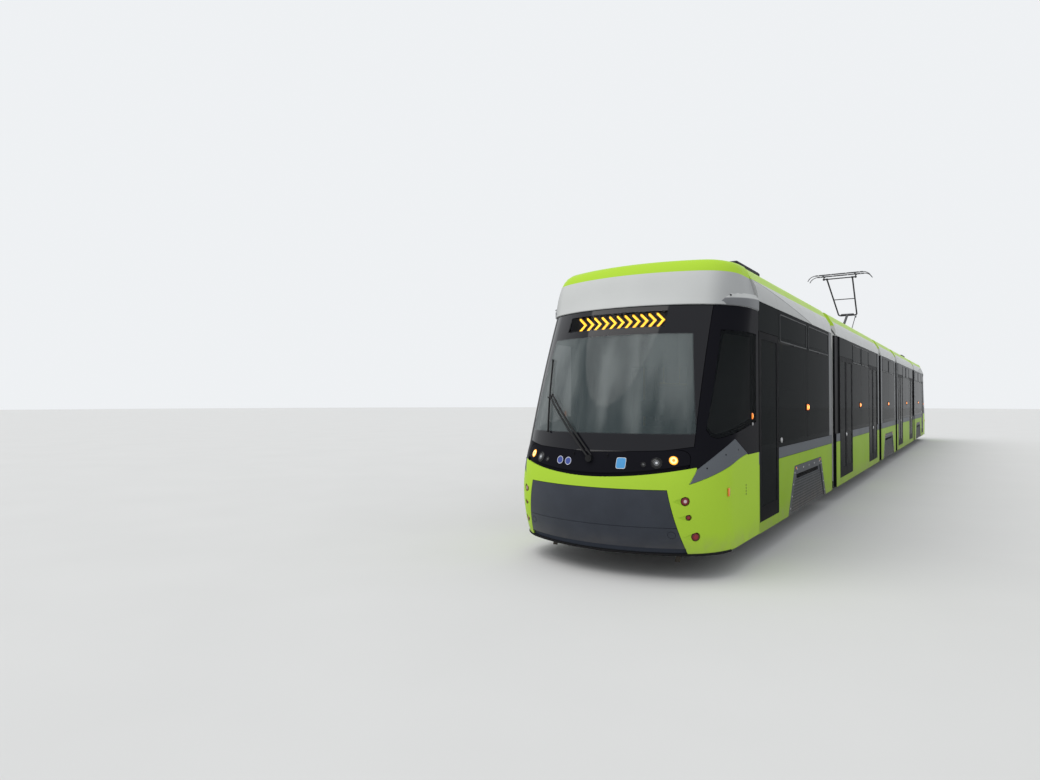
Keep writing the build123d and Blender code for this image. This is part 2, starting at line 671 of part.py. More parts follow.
def nose_x(y, h):
    """Place of the nose surface at half-width y and height h above the rail, from its plan arcs."""
    tip_back, shoulder, shoulder_back, corner_back, half = nose_level(h)[1:]
    tip = NOSE_TIP - tip_back
    if y <= shoulder:
        r = (shoulder ** 2 + shoulder_back ** 2) / (2 * shoulder_back)
        return tip - r + math.sqrt(r ** 2 - y ** 2)
    dx, dy = corner_back - shoulder_back, half - shoulder
    r = (dx ** 2 + dy ** 2) / (2 * dy)
    return tip - corner_back + math.sqrt(r ** 2 - (y - half + r) ** 2)


def lamp_place(lamp):
    """Frame of a lamp: its origin on the nose surface, and its Z axis pointing out of the lamp."""
    y, h, r, turn, length = lamp
    return Pos(nose_x(y, h), y, RAIL + h) * Rot(0, 0, turn) * Rot(0, 90, 0)


def lamp_body(lamp, r, front):
    """Round bar through the nose skin at a lamp, up to the given height over its frame."""
    depth = 150.0
    return lamp_place(lamp) * Pos(0, 0, (front - depth) / 2) * Cylinder(r, front + depth)


def lamp_hollow(lamp):
    """Teardrop hollow: flat round the lamp, its floor rises to the surface towards the middle."""
    y, h, r, turn, length = lamp
    wide, sink, out = r + HOLLOW_GAP, LAMP_SINK, 120.0
    t = math.radians(turn)
    ahead = nose_x(y - length, h) - nose_x(y, h)
    tip_y = -ahead * math.sin(t) - length * math.cos(t)
    tip_z = ahead * math.cos(t) - length * math.sin(t)
    profile = [(wide, -sink), (0, -sink), (tip_y, tip_z), (tip_y, out), (wide, out)]
    wedge = plate_yz([(py, pz) for py, pz in profile], -wide, wide)
    share = -wide / tip_y
    touch_x, touch_y = wide * math.sqrt(1 - share ** 2), -wide * share
    low = -sink - 1.0
    bend = ThreePointArc((touch_x, touch_y, low), (0, wide, low), (-touch_x, touch_y, low))
    sides = [Line((-touch_x, touch_y, low), (0, tip_y, low)), Line((0, tip_y, low), (touch_x, touch_y, low))]
    teardrop = extrude(make_face([bend, *sides]), amount=out - low, dir=(0, 0, 1))
    return lamp_place(lamp) * (wedge & teardrop)


def before_glass(y, h, stand):
    """Point that stands the given distance in front of the nose surface."""
    return Vector(nose_x(abs(y), h) + stand, y, RAIL + h)


def bowed_bar(a, b, stand_a, stand_b, r):
    """Round bar that follows the bow of the nose surface between two places on it."""
    mid = before_glass((a[0] + b[0]) / 2, (a[1] + b[1]) / 2, (stand_a + stand_b) / 2)
    path = ThreePointArc(before_glass(*a, stand_a), mid, before_glass(*b, stand_b))
    return sweep(Plane(origin=path @ 0, z_dir=path % 0) * Circle(r), path=path)


def wiper():
    """Spindle with two parallel arms, and a blade carried along the glass."""
    y, h = WIPER_SPINDLE
    x = nose_x(y, h)
    spindle = tube((x - 75.0, y, RAIL + h), before_glass(y, h, 50.0), 16.0)
    cap = tube(before_glass(y, h, 14.0), before_glass(y, h, 46.0), 36.0)
    arms = [bowed_bar((y + dy, h + dh), (WIPER_MID[0] + dy, WIPER_MID[1] + dh), 36.0, 47.0, 8.0)
            for dy, dh in ((0.0, 0.0), (26.0, 30.0))]
    link = tube(before_glass(WIPER_MID[0] - 6.0, WIPER_MID[1] - 8.0, 47.0),
                before_glass(WIPER_MID[0] + 32.0, WIPER_MID[1] + 38.0, 47.0), 11.0)
    blade = [bowed_bar(WIPER_TOP, WIPER_FOOT, 32.0, 32.0, 7.0),
             bowed_bar(WIPER_TOP, WIPER_FOOT, 18.0, 18.0, 6.0)]
    pins = [tube(before_glass(*place, 13.0), before_glass(*place, 40.0), 9.0)
            for place in (WIPER_TOP, WIPER_FOOT)]
    share = (WIPER_MID[1] - WIPER_FOOT[1]) / (WIPER_TOP[1] - WIPER_FOOT[1])
    yoke_y = WIPER_FOOT[0] + share * (WIPER_TOP[0] - WIPER_FOOT[0])
    yoke = tube(before_glass(yoke_y, WIPER_MID[1], 15.0), before_glass(yoke_y, WIPER_MID[1], 56.0), 10.0)
    reach = tube(before_glass(WIPER_MID[0] + 12.0, WIPER_MID[1], 47.0),
                 before_glass(yoke_y - 12.0, WIPER_MID[1], 47.0), 9.0)
    return add(spindle, cap, arms, link, reach, yoke, blade, pins)


def build_nose():
    """Nose shell with its openings, seams and hollows, and the pieces that fill them."""
    outer = nose_body(0.0, 0.0)
    inner_shell = nose_body(SHELL_SKIN, 45.0)
    inner_panel = nose_body(PANEL_SKIN, 30.0)
    inner_glass = nose_body(PANE, 15.0)
    side_in, side_out = HALF - CAB_WINDOW_DEPTH, HALF + 50.0

    screen_prism = front_prism(windscreen_outline(0.0))
    screen_hole = front_prism(windscreen_outline(-50.0))
    bumper_prism = front_prism(bumper_outline(0.0, 200.0))
    window_prism = plate_xz(cab_window_outline(0.0), side_in, side_out)
    window_hole = plate_xz(cab_window_outline(-40.0), side_in, side_out)

    shell = add(outer, brow_pods()) - inner_shell
    shell = shell - (screen_prism - inner_glass) - screen_hole
    shell = shell - (bumper_prism - inner_panel)
    for prism, hole in zip(both_sides(window_prism), both_sides(window_hole)):
        shell = shell - (prism - inner_glass) - hole

    front0, front1 = NOSE_TIP - 900.0, NOSE_TIP + 100.0
    trim_seam = across(corner_trim_face(SEAM) - corner_trim_face(0.0), side_in, side_out)
    end_seam = along(panel_end_face(0.0) - panel_end_face(-SEAM), front0, front1)
    end_seam = end_seam & block(front0, front1, LAMP_PANEL_HALF - 130.0, HALF, RAIL + PANEL_FOOT_H,
                                RAIL + BELT_H + 150.0)
    gap = along(panel_gap_face(), front0, front1)
    for cut in both_sides(trim_seam) + both_sides(end_seam) + [gap]:
        shell = shell - (cut - inner_glass)

    screen = (outer & front_prism(windscreen_outline(-5.0))) - inner_glass
    bumper = (outer & front_prism(bumper_outline(PANE_GAP / 2, BUMPER_FOOT_H))) - inner_panel
    seam = block(front0, front1, -HALF, HALF, RAIL + BUMPER_SEAM_H, RAIL + BUMPER_SEAM_H + SEAM)
    ring = Rot(0, 90, 0) * (Cylinder(TOW_COVER_R, 700.0) - Cylinder(TOW_COVER_R - SEAM, 700.0))
    towing = [Pos(NOSE_TIP - 350.0, s * TOW_COVER_Y, RAIL + TOW_COVER_H) * ring for s in (-1, 1)]
    for cut in [seam] + towing:
        bumper = bumper - (cut - inner_glass)
    window = (outer & plate_xz(cab_window_outline(-5.0), side_in, side_out)) - inner_glass
    cab_space = nose_body(SHELL_SKIN + 0.3, 45.3)

    lamps = []
    for lamp in LAMPS:
        r, sunk = lamp[2], lamp[4] > 0
        back = inner_shell if sunk else inner_panel
        if sunk:
            for hollow in both_sides(lamp_hollow(lamp)):
                shell = shell - hollow
        body = lamp_body(lamp, r - LAMP_GAP, LAMP_STAND - LAMP_SINK if sunk else 150.0)
        pocket = lamp_body(lamp, r, 0.0 if sunk else 150.0)
        for piece, hole in zip(both_sides(body), both_sides(pocket)):
            shell = shell - ((hole & outer) - back)
            lamps.append((piece & outer) - back)
    wiper_x = nose_x(*WIPER_SPINDLE)
    bore = tube((wiper_x - 300.0, WIPER_SPINDLE[0], RAIL + WIPER_SPINDLE[1]),
                (wiper_x + 60.0, WIPER_SPINDLE[0], RAIL + WIPER_SPINDLE[1]), 16.0 + PIN_GAP)
    shell = shell - bore
    return shell, screen, bumper, both_sides(window), lamps, cab_space


# Pantograph

def pantograph():
    """Base frame, lower arm, upper arm, head and thrust rod, in the raised position."""
    pivot = (PANTO_PIVOT_X, 0, RAIL + PANTO_PIVOT_H)
    knee = (KNEE_X, 0, RAIL + KNEE_H)
    head = (HEAD_X, 0, RAIL + HEAD_H)
    half = KNEE_HALF

    base_z = pivot[2] - 200.0
    rails = [block(-520, 520, s * 420 - 25, s * 420 + 25, base_z - 25, base_z + 25) for s in (-1, 1)]
    cross = [block(x - 30, x + 30, -420, 420, base_z - 24, base_z + 24) for x in (-480, PANTO_PIVOT_X, 480)]
    feet = [Pos(x, y, 0) * coil_stack(DECK_TOP_Z, base_z - 20.0, 62.0, 38.0, 6)
            for x in (-480, 480) for y in (-420, 420)]
    ears = [block(pivot[0] - 45, pivot[0] + 45, s * 190 - 15, s * 190 + 15, base_z, pivot[2] + 40)
            for s in (-1, 1)]
    pin = Pos(*pivot) * Rot(90, 0, 0) * Cylinder(PIN_R, 2 * 200)
    rod_foot = (PANTO_PIVOT_X - ROD_FOOT_BACK, 0, pivot[2] - ROD_FOOT_DROP)
    rod_beam = block(rod_foot[0] - 25, rod_foot[0] + 25, -420, 420, base_z - 20, base_z + 20)
    rod_lug = block(rod_foot[0] - 24, rod_foot[0] + 24, ROD_Y + 16, ROD_Y + 40, base_z, rod_foot[2] + 30)
    rod_pin = Pos(rod_foot[0], ROD_Y + 12, rod_foot[2]) * Rot(90, 0, 0) * Cylinder(PIN_R, 56)
    base = add(rails, cross, feet, ears, pin, rod_beam, rod_lug, rod_pin)

    bore = Rot(90, 0, 0) * Cylinder(PIN_R + PIN_GAP, 2000)
    hub = Pos(*pivot) * Rot(90, 0, 0) * Cylinder(EYE_R, 340)
    knee_bar = Pos(*knee) * Rot(90, 0, 0) * Cylinder(EYE_R, 340)
    lower = tube(pivot, knee, ARM_TUBE_R) + hub + knee_bar
    lower = lower - Pos(*pivot) * bore - Pos(*knee) * bore

    knee_pin = Pos(*knee) * Rot(90, 0, 0) * Cylinder(PIN_R, 2 * KNEE_PIN_HALF)
    bar_x, bar_z = knee[0] - KNEE_BAR_BACK, knee[2] - 12.0
    corners = [(head[0], HEAD_HALF, head[2]), (bar_x, half, bar_z), (bar_x, -half, bar_z),
               (head[0], -HEAD_HALF, head[2])]
    bend = FilletPolyline(*corners, radius=KNEE_BEND_R)
    frame = sweep(Plane(origin=bend @ 0, z_dir=bend % 0) * Circle(LEG_TUBE_R), path=bend)
    cheeks = [plate_xz([(knee[0] + 30, knee[2] - 26), (knee[0] + 30, knee[2] + 26), (bar_x - 14, bar_z + 16),
                        (bar_x - 14, bar_z - 16)], s * 180.0 - 4.0, s * 180.0 + 4.0) for s in (-1, 1)]
    frac = 0.45
    brace_y = half + frac * (HEAD_HALF - half)
    brace_x, brace_z = bar_x + frac * (head[0] - bar_x), bar_z + frac * (head[2] - bar_z)
    brace = tube((brace_x, -brace_y, brace_z), (brace_x, brace_y, brace_z), FRAME_TUBE_R - 4)
    top_bar = Pos(*head) * Rot(90, 0, 0) * Cylinder(FRAME_TUBE_R, 2 * 460)
    sleeves = [Pos(head[0], s * HEAD_HALF, head[2]) * Rot(90, 0, 0) * Cylinder(LEG_TUBE_R + 6, 60)
               for s in (-1, 1)]
    lever_end = (knee[0] - LEVER_BACK, 0, knee[2] - LEVER_DROP)
    lever = plate_xz([(bar_x - 10, bar_z + 14), (lever_end[0] - 24, lever_end[2]),
                      (lever_end[0], lever_end[2] - 22),
                      (lever_end[0] + 24, lever_end[2]), (bar_x + 42, bar_z + 28)], ROD_Y + 18, ROD_Y + 32)
    upper = add(knee_pin, frame, cheeks, brace, top_bar, sleeves, lever)

    yokes = []
    for s in (-1, 1):
        eye = Pos(head[0], s * 430, head[2]) * Rot(90, 0, 0) * Cylinder(EYE_R, 40)
        stem = block(head[0] - 12, head[0] + 12, s * 430 - 12, s * 430 + 12, head[2] + 25, head[2] + 95)
        yokes += [eye, stem]
    strips = [block(head[0] + dx - 18, head[0] + dx + 18, -STRIP_LEN / 2, STRIP_LEN / 2, head[2] + 90,
                    head[2] + 120) for dx in (-150, 150)]
    bars = [block(head[0] - 168, head[0] + 168, s * 430 - 14, s * 430 + 14, head[2] + 70, head[2] + 95)
            for s in (-1, 1)]
    horns = []
    for dx in (-150, 150):
        for s in (-1, 1):
            x, start = head[0] + dx, STRIP_LEN / 2 - 15
            path = ThreePointArc((x, s * start, head[2] + 104), (x, s * (start + 130), head[2] + 72),
                                 (x, s * HORN_HALF, head[2] - 45))
            horns.append(sweep(Plane(origin=path @ 0, z_dir=path % 0) * Circle(11), path=path))
    head_bore = Pos(*head) * Rot(90, 0, 0) * Cylinder(FRAME_TUBE_R + PIN_GAP, 2000)
    bow = add(yokes, bars, strips, horns) - head_bore

    rod_top = lever_end
    foot = (rod_foot[0], ROD_Y, rod_foot[2])
    top = (rod_top[0], ROD_Y, rod_top[2])
    eyes = [Pos(*end) * Rot(90, 0, 0) * Cylinder(EYE_R - 6, 24) for end in (foot, top)]
    rod = add(tube(foot, top, 11), eyes) - Pos(*foot) * bore - Pos(*top) * bore
    return base, lower, upper, bow, rod


# Bellows

def bellows(x):
    """Folded gangway cover between two cars: an arch of alternating deep and shallow frames."""
    half_gap = GANGWAY / 2 - BELLOWS_SEAT
    step = 2 * half_gap / (2 * BELLOWS_FOLDS + 1)
    rings = []
    for i in range(2 * BELLOWS_FOLDS + 1):
        sink = FOLD_DEPTH if i % 2 else 0.0
        half = BELLOWS_HALF - sink
        top = RAIL + BELLOWS_TOP_H - sink
        inner = BELLOWS_HALF - BELLOWS_WALL
        roof = RAIL + BELLOWS_TOP_H - BELLOWS_WALL
        foot = RAIL + BELLOWS_FOOT_H
        points = [(half, foot), (half, top), (-half, top), (-half, foot),
                  (-inner, foot), (-inner, roof), (inner, roof), (inner, foot)]
        start = x - half_gap + i * step
        rings.append(plate_yz(points, start, start + step))
    return add(rings)


# Cab car
cab_doors = [(CAB_DOOR_X, CAB_DOOR_W)]
cab_door_edge = CAB_DOOR_X - CAB_DOOR_W / 2
cab_pane = (cab_door_edge - CAB_START - END_POST) / 2
cab_panes = [(CAB_START + END_POST + i * cab_pane, CAB_START + END_POST + (i + 1) * cab_pane)
             for i in range(2)]
wall = side_wall(CAB_START, NOSE_BACK, CAB_START + END_POST, NOSE_BACK + 1, cab_doors, cab_panes, CAB_BOGIE_X)
save_both_ends("cab_sides", add(both_sides(wall), end_frame(CAB_START, CAB_START + END_WALL)))

leaf, door_pane = door_leaf(CAB_DOOR_X - CAB_DOOR_W / 2, CAB_DOOR_X + CAB_DOOR_W / 2)
save_both_ends("cab_doors", both_sides(leaf))
high = pane_run(cab_panes, RAIL + BELT_H, DECK_Z)
header = pane_run([(cab_door_edge, NOSE_BACK)], RAIL + HEADER_H, DECK_Z)
shell, screen, bumper, windows, lamps, cab_space = build_nose()
side_glass = [piece for pane in high + header + [door_pane] for piece in both_sides(pane)]
save_both_ends("cab_glazing", side_glass, windows)
save_both_ends("nose", shell)
save_both_ends("windscreen", screen)
save_both_ends("wiper", wiper())
save_both_ends("bumper", bumper)
save_both_ends("lamps", lamps)

cab_floor = floor_slab(CAB_START, NOSE_BACK)
cab_floor = cab_floor + (floor_slab(NOSE_BACK, NOSE_TIP) & cab_space)
box_x0, box_x1 = CAB_BOGIE_X - BOX_LEN / 2, CAB_BOGIE_X + BOX_LEN / 2
cab_floor = cab_floor - block(box_x0 + SHEET, box_x1 - SHEET, -INSIDE - 1, INSIDE + 1, 0, FLOOR_Z + 1)
cab_floor = cab_floor - turntable_bay(JOINT_2)
cab_floor = add(cab_floor, bogie_floor(CAB_BOGIE_X), child_pivot(JOINT_2, CAB_START, 1))
save_both_ends("cab_underframe", cab_floor)

cab_roof = roof_channel(CAB_START, NOSE_BACK)
cab_unit = roof_box(JOINT_2 + 2600, JOINT_2 + 3700, 650, 3780, (JOINT_2 + 2880, JOINT_2 + 3420))
cab_roof = add(cab_roof, cab_unit, roof_arm_child(JOINT_2, CAB_START, 1))
cab_roof = cab_roof + roof_box(JOINT_2 + 800, JOINT_2 + 2400, 750, 3400)
save_both_ends("cab_roof", cab_roof)
save_both_ends("cab_wheel_covers", both_sides(wheel_cover(CAB_BOGIE_X)))
save_both_ends("cab_bogie", bogie_frame(CAB_BOGIE_X))
for number, offset in (("1", WHEELBASE / 2), ("2", -WHEELBASE / 2)):
    save_both_ends(f"wheelset_{number}", wheelset(CAB_BOGIE_X + offset))

partition = block(NOSE_BACK - 5, NOSE_BACK + 30, -INSIDE + 5, INSIDE - 5, FLOOR_Z, DECK_Z - 60)
partition = partition - block(NOSE_BACK - 10, NOSE_BACK + 40, -380, 380, FLOOR_Z + 900, FLOOR_Z + 1900)
desk = block(NOSE_TIP - 900, NOSE_TIP, -INSIDE, INSIDE, FLOOR_Z, FLOOR_Z + 780) & cab_space
driver_seat = seat(NOSE_TIP - 1450, 1, FLOOR_Z + 100, 330.0, 0.0, 500.0)
driver_step = block(NOSE_TIP - 1700, NOSE_TIP - 1100, -400, 400, FLOOR_Z, FLOOR_Z + 100)
display = block(NOSE_TIP - 1010, NOSE_TIP - 930, -560, 560, RAIL + 2620, RAIL + 2930)
display_bar = block(NOSE_TIP - 1050, NOSE_TIP - 1010, -HALF, HALF, RAIL + 2890, RAIL + 2930) & cab_space
display = display + display_bar
seats = [seat(CAB_BOGIE_X + dx, f, RAIL + BOX_H, 60.0) for dx, f in ((700, -1), (-100, 1), (-900, 1))]
cab_seats = [piece for seat in seats for piece in both_sides(seat)]
save_both_ends("cab_interior", partition, desk, driver_seat + driver_step, display, cab_seats)

# Mid cars, without wheels of their own
mid_doors = [(MID_CENTRE - MID_DOOR_FROM_CENTRE, DOUBLE_DOOR_W),
             (MID_CENTRE + MID_DOOR_FROM_CENTRE, DOUBLE_DOOR_W)]
inner_edge = MID_DOOR_FROM_CENTRE - DOUBLE_DOOR_W / 2
mid_panes = [(MID_CENTRE - inner_edge, MID_CENTRE), (MID_CENTRE, MID_CENTRE + inner_edge)]
wall = side_wall(MID_START, MID_END, MID_START + END_POST, MID_END + 1, mid_doors, mid_panes)
ends = [end_frame(MID_START, MID_START + END_WALL), end_frame(MID_END - END_WALL, MID_END)]
save_both_ends("mid_sides", add(both_sides(wall), ends))
leaves, mid_glass = [], pane_run(mid_panes, RAIL + BELT_H, DECK_Z)
for centre, width in mid_doors:
    for s in (-1, 1):
        a, b = sorted((centre, centre + s * width / 2))
        leaf, pane = door_leaf(a, b)
        leaves += both_sides(leaf)
        mid_glass.append(pane)
    mid_glass += pane_run([(centre - width / 2, centre + width / 2)], RAIL + HEADER_H, DECK_Z)
save_both_ends("mid_doors", leaves)
save_both_ends("mid_glazing", [piece for pane in mid_glass for piece in both_sides(pane)])
mid_floor = floor_slab(MID_START, MID_END) - turntable_bay(JOINT_1)
mid_floor = add(mid_floor, child_pivot(JOINT_1, MID_START, 1), parent_pivot(JOINT_2, MID_END, 1))
save_both_ends("mid_underframe", mid_floor)
mid_roof = add(roof_channel(MID_START, MID_END), roof_box(MID_CENTRE - 1300, MID_CENTRE + 1300, 800, 3420))
mid_roof = add(mid_roof, roof_arm_child(JOINT_1, MID_START, 1), roof_arm_parent(JOINT_2, MID_END, 1))
save_both_ends("mid_roof", mid_roof)
seats = [seat(MID_CENTRE + dx, f, FLOOR_Z, 330.0) for dx, f in ((-750, 1), (0, 1), (750, -1))]
save_both_ends("mid_interior", [piece for seat in seats for piece in both_sides(seat)])

# Centre car
centre_glass = CENTRE_END - END_POST
centre_panes = [(-centre_glass, 0), (0, centre_glass)]
wall = side_wall(-CENTRE_END, CENTRE_END, -centre_glass, centre_glass, [], centre_panes, 0.0)
ends = [end_frame(-CENTRE_END, -CENTRE_END + END_WALL), end_frame(CENTRE_END - END_WALL, CENTRE_END)]
save("centre_sides", add(both_sides(wall), ends))
panes = pane_run(centre_panes, RAIL + BELT_H, DECK_Z)
save("centre_glazing", [piece for pane in panes for piece in both_sides(pane)])
floor = floor_slab(-CENTRE_END, CENTRE_END)
floor = floor - block(-BOX_LEN / 2 + SHEET, BOX_LEN / 2 - SHEET, -INSIDE - 1, INSIDE + 1, 0, FLOOR_Z + 1)
pivots = [parent_pivot(JOINT_1, CENTRE_END, 1), parent_pivot(-JOINT_1, -CENTRE_END, -1)]
save("centre_underframe", add(floor, bogie_floor(0.0), pivots))
arms = [roof_arm_parent(JOINT_1, CENTRE_END, 1), roof_arm_parent(-JOINT_1, -CENTRE_END, -1)]
save("centre_roof", add(roof_channel(-CENTRE_END, CENTRE_END), arms, roof_box(-1650, -900, 700, 3400)))
save("centre_wheel_covers", both_sides(wheel_cover(0.0)))
save("centre_bogie", bogie_frame(0.0))
save("centre_wheelset_1", wheelset(WHEELBASE / 2))
save("centre_wheelset_2", wheelset(-WHEELBASE / 2))
seats = [seat(dx, f, RAIL + BOX_H, 60.0) for dx, f in ((800, -1), (0, 1), (-800, 1))]
save("centre_interior", [piece for seat in seats for piece in both_sides(seat)])
names = ("pantograph_base", "pantograph_lower_arm", "pantograph_upper_arm", "pantograph_head",
         "pantograph_thrust_rod")
for name, piece in zip(names, pantograph()):
    save(name, piece)

save_both_ends("inner_bellows", bellows(JOINT_1))
save_both_ends("outer_bellows", bellows(JOINT_2))
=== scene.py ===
"""Articulated low-floor tram: finishes, fittings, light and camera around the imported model."""
import math

import bmesh
import bpy
import numpy as np
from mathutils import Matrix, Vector


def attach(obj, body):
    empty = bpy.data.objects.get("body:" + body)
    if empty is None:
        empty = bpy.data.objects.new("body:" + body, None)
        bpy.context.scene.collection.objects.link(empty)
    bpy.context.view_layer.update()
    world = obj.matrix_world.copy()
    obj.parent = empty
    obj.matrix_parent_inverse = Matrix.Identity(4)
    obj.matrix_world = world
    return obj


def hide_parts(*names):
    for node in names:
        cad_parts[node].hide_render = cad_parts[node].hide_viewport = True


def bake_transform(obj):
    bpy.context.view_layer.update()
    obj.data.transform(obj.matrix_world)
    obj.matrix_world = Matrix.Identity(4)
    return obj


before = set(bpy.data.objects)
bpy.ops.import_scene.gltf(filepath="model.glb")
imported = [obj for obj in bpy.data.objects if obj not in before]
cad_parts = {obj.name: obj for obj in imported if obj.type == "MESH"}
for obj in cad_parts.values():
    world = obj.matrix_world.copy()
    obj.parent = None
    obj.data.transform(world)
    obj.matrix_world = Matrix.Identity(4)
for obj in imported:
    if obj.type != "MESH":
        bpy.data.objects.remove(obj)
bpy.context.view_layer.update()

# Places of the tram in metres; heights are above the rail, and RAIL is where its top stands
RAIL = 0.028
HALF = 1.25
SKIRT, SILL, FLOOR, COVER_TOP = 0.243, 0.370, 0.350, 0.900
BAND_LOW, BELT = 1.065, 1.215
HEADER, FASCIA, GLASS_TOP, LIME_EDGE = 2.655, 2.886, 3.010, 3.276
DECK = RAIL + GLASS_TOP + 0.050
GANGWAY = 0.46
HINGES = (("inner", 2.03, "centre_car", "mid_car"), ("outer", 8.69, "mid_car", "cab_car"))
CENTRE_END, MID_START, MID_END = 1.80, 2.26, 8.46
CAB_START, NOSE_BACK, NOSE_TIP = 8.92, 13.63, 15.57
CARS = (("cab", CAB_START, NOSE_BACK), ("mid", MID_START, MID_END), ("centre", -CENTRE_END, CENTRE_END))
CAB_BOGIE = 10.84
CAB_DOOR, CAB_DOOR_W = 13.14, 0.92
MID_CENTRE, MID_DOORS, DOUBLE_W = 5.36, (3.39, 7.33), 1.49
END_POST, PANEL = 0.23, 1.24
COVER_FOOT, COVER_HEAD = 2.680, 1.900
POD_KNEE, POD_TIP = 14.330, 14.470
ROOF_UNIT, UNIT_TOP, FANS = (11.25, 12.45), RAIL + 3.780, (11.57, 12.11)

# Plan of the nose: height, setback of the tip, half-width and setback of the shoulder,
# setback where the side becomes straight, half-width
NOSE_PLAN = np.array([
    (0.250, 0.160, 0.830, 0.200, 0.870, 1.250),
    (0.930, 0.000, 0.830, 0.210, 0.930, 1.250),
    (1.300, 0.100, 0.840, 0.230, 0.950, 1.250),
    (2.100, 0.370, 0.860, 0.250, 1.000, 1.250),
    (3.010, 0.800, 0.900, 0.270, 0.950, 1.250),
    (3.310, 0.930, 0.790, 0.250, 0.970, 1.065),
    (3.440, 1.130, 0.740, 0.220, 0.760, 1.025),
])

# Rounded shoulder of the roof in the end view: half-width and height
ROOF_LINE = np.array([
    (1.2525, 3.012), (1.2500, 3.060), (1.2400, 3.120), (1.2200, 3.190), (1.1900, 3.250), (1.1560, 3.300),
    (1.1250, 3.360), (1.1000, 3.400), (1.0700, 3.428), (1.0350, 3.443)])

# Corner trim in the side view: setback from the nose tip and height, as in the nose
TRIM = ((0.338, 0.977), (0.670, 1.086), (1.475, 1.227), (1.020, 1.411), (0.650, 1.255), (0.424, 1.118))

# Ends of the wiper's lower arm: place across and height
WIPER_SPINDLE, WIPER_MID = (0.005, 1.215), (-0.680, 1.860)

# Lower fascia in plan: height, setback of the tip, half-width, bluntness, setback of the corner
FASCIA_LOW, FASCIA_MID = (2.960, 0.768, 1.2480, 0.55, 0.88), (3.040, 0.806, 1.2240, 0.90, 0.84)

# Display: its left end, the foot of its chevrons, the distance between dots
DISPLAY_START, DISPLAY_FOOT, DOT = 0.60, RAIL + 2.655, 0.0125

# The photograph's camera: place, heading and pitch in degrees, focal length on a 36 mm sensor
CAMERA_PLACE, CAMERA_HEADING, CAMERA_PITCH, CAMERA_LENS = (21.77, 3.42, 1.858), 34.56, 0.85, 23.154

# Lamps on one side of the nose: half-width, height, radius, turn outwards in degrees, how far sunk
LAMPS = (
    ("marker", 0.576, 1.169, 0.024, 0.0, 0.0),
    ("headlamp", 0.695, 1.186, 0.055, 0.0, 0.0),
    ("indicator", 0.843, 1.213, 0.050, 20.0, 0.0),
    ("rear_position", 0.966, 0.806, 0.045, 40.0, 0.016),
    ("fog", 0.989, 0.641, 0.029, 42.0, 0.016),
    ("brake", 1.030, 0.438, 0.045, 45.0, 0.016),
)

# Colours as linear light
LIME = (0.43, 0.66, 0.055)
SILVER = (0.60, 0.61, 0.60)
ANTHRACITE = (0.040, 0.046, 0.060)
TRIM_GREY = (0.125, 0.135, 0.150)
BLACK = (0.012, 0.012, 0.014)
DUST = (0.30, 0.25, 0.19)


# Shapes

class Shape:
    """Points as rows of x, y, z, and four-sided faces as rows of point numbers."""

    def __init__(self, points, faces, share=None):
        self.points = np.asarray(points, float).reshape(-1, 3)
        self.faces = np.asarray(faces, int).reshape(-1, 4)
        self.share = np.zeros((len(self.points), 2)) if share is None else np.asarray(share, float).reshape(-1, 2)

    def both_sides(self):
        """The shape together with its mirror image across the middle of the tram, faces still outwards."""
        return join([self, Shape(self.points * (1, -1, 1), self.faces[:, ::-1], self.share)])

    def half_turn(self):
        """The shape turned to the other end of the tram."""
        return Shape(self.points * (-1, -1, 1), self.faces, self.share)


def join(shapes):
    """Several shapes as one."""
    starts = np.cumsum([0] + [len(s.points) for s in shapes[:-1]])
    return Shape(np.concatenate([s.points for s in shapes]),
                 np.concatenate([s.faces + start for s, start in zip(shapes, starts)]),
                 np.concatenate([s.share for s in shapes]))


def grid(points, close_u=False, close_v=False, share=None):
    """Surface through a grid of points of u rows and v columns, closed along u or v where asked."""
    points = np.asarray(points, float)
    nu, nv = points.shape[:2]
    i, j = np.meshgrid(np.arange(nu if close_u else nu - 1), np.arange(nv if close_v else nv - 1),
                       indexing="ij")
    a, b = i * nv + j, ((i + 1) % nu) * nv + j
    c, d = ((i + 1) % nu) * nv + (j + 1) % nv, i * nv + (j + 1) % nv
    return Shape(points, np.stack([a, b, c, d], -1), share)


def solid(rings):
    """Closed body through rings of points, whose first and last ring draw in to their own centres."""
    rings = np.asarray(rings, float)
    first = np.repeat(rings[:1].mean(1, keepdims=True), rings.shape[1], 1)
    last = np.repeat(rings[-1:].mean(1, keepdims=True), rings.shape[1], 1)
    return grid(np.concatenate([first, rings, last]), close_v=True)


def revolve(profile, centre, axis, sides=20):
    """Profile of (distance from the axis, place along it) carried round the axis through the centre."""
    profile = np.asarray(profile, float)
    axis = np.asarray(axis, float) / np.linalg.norm(axis)
    side = np.cross(axis, (0, 0, 1) if abs(axis[2]) < 0.9 else (1, 0, 0))
    side /= np.linalg.norm(side)
    other = np.cross(axis, side)
    turn = np.linspace(0, 2 * math.pi, sides, endpoint=False)
    out = np.cos(turn)[:, None] * side + np.sin(turn)[:, None] * other
    points = np.asarray(centre) + profile[:, None, :1] * out + profile[:, None, 1:] * axis
    reach = max(profile[:, 0].max(), 1e-6)
    share = np.stack(np.broadcast_arrays(profile[:, :1] / reach, turn / (2 * math.pi)), -1)
    return grid(points, close_v=True, share=share)


def along(path, closed=False):
    """Direction of a path at each of its points."""
    path = np.asarray(path, float)
    ahead = np.roll(path, -1, 0) - np.roll(path, 1, 0) if closed else np.gradient(path, axis=0)
    return ahead / np.linalg.norm(ahead, axis=1, keepdims=True)


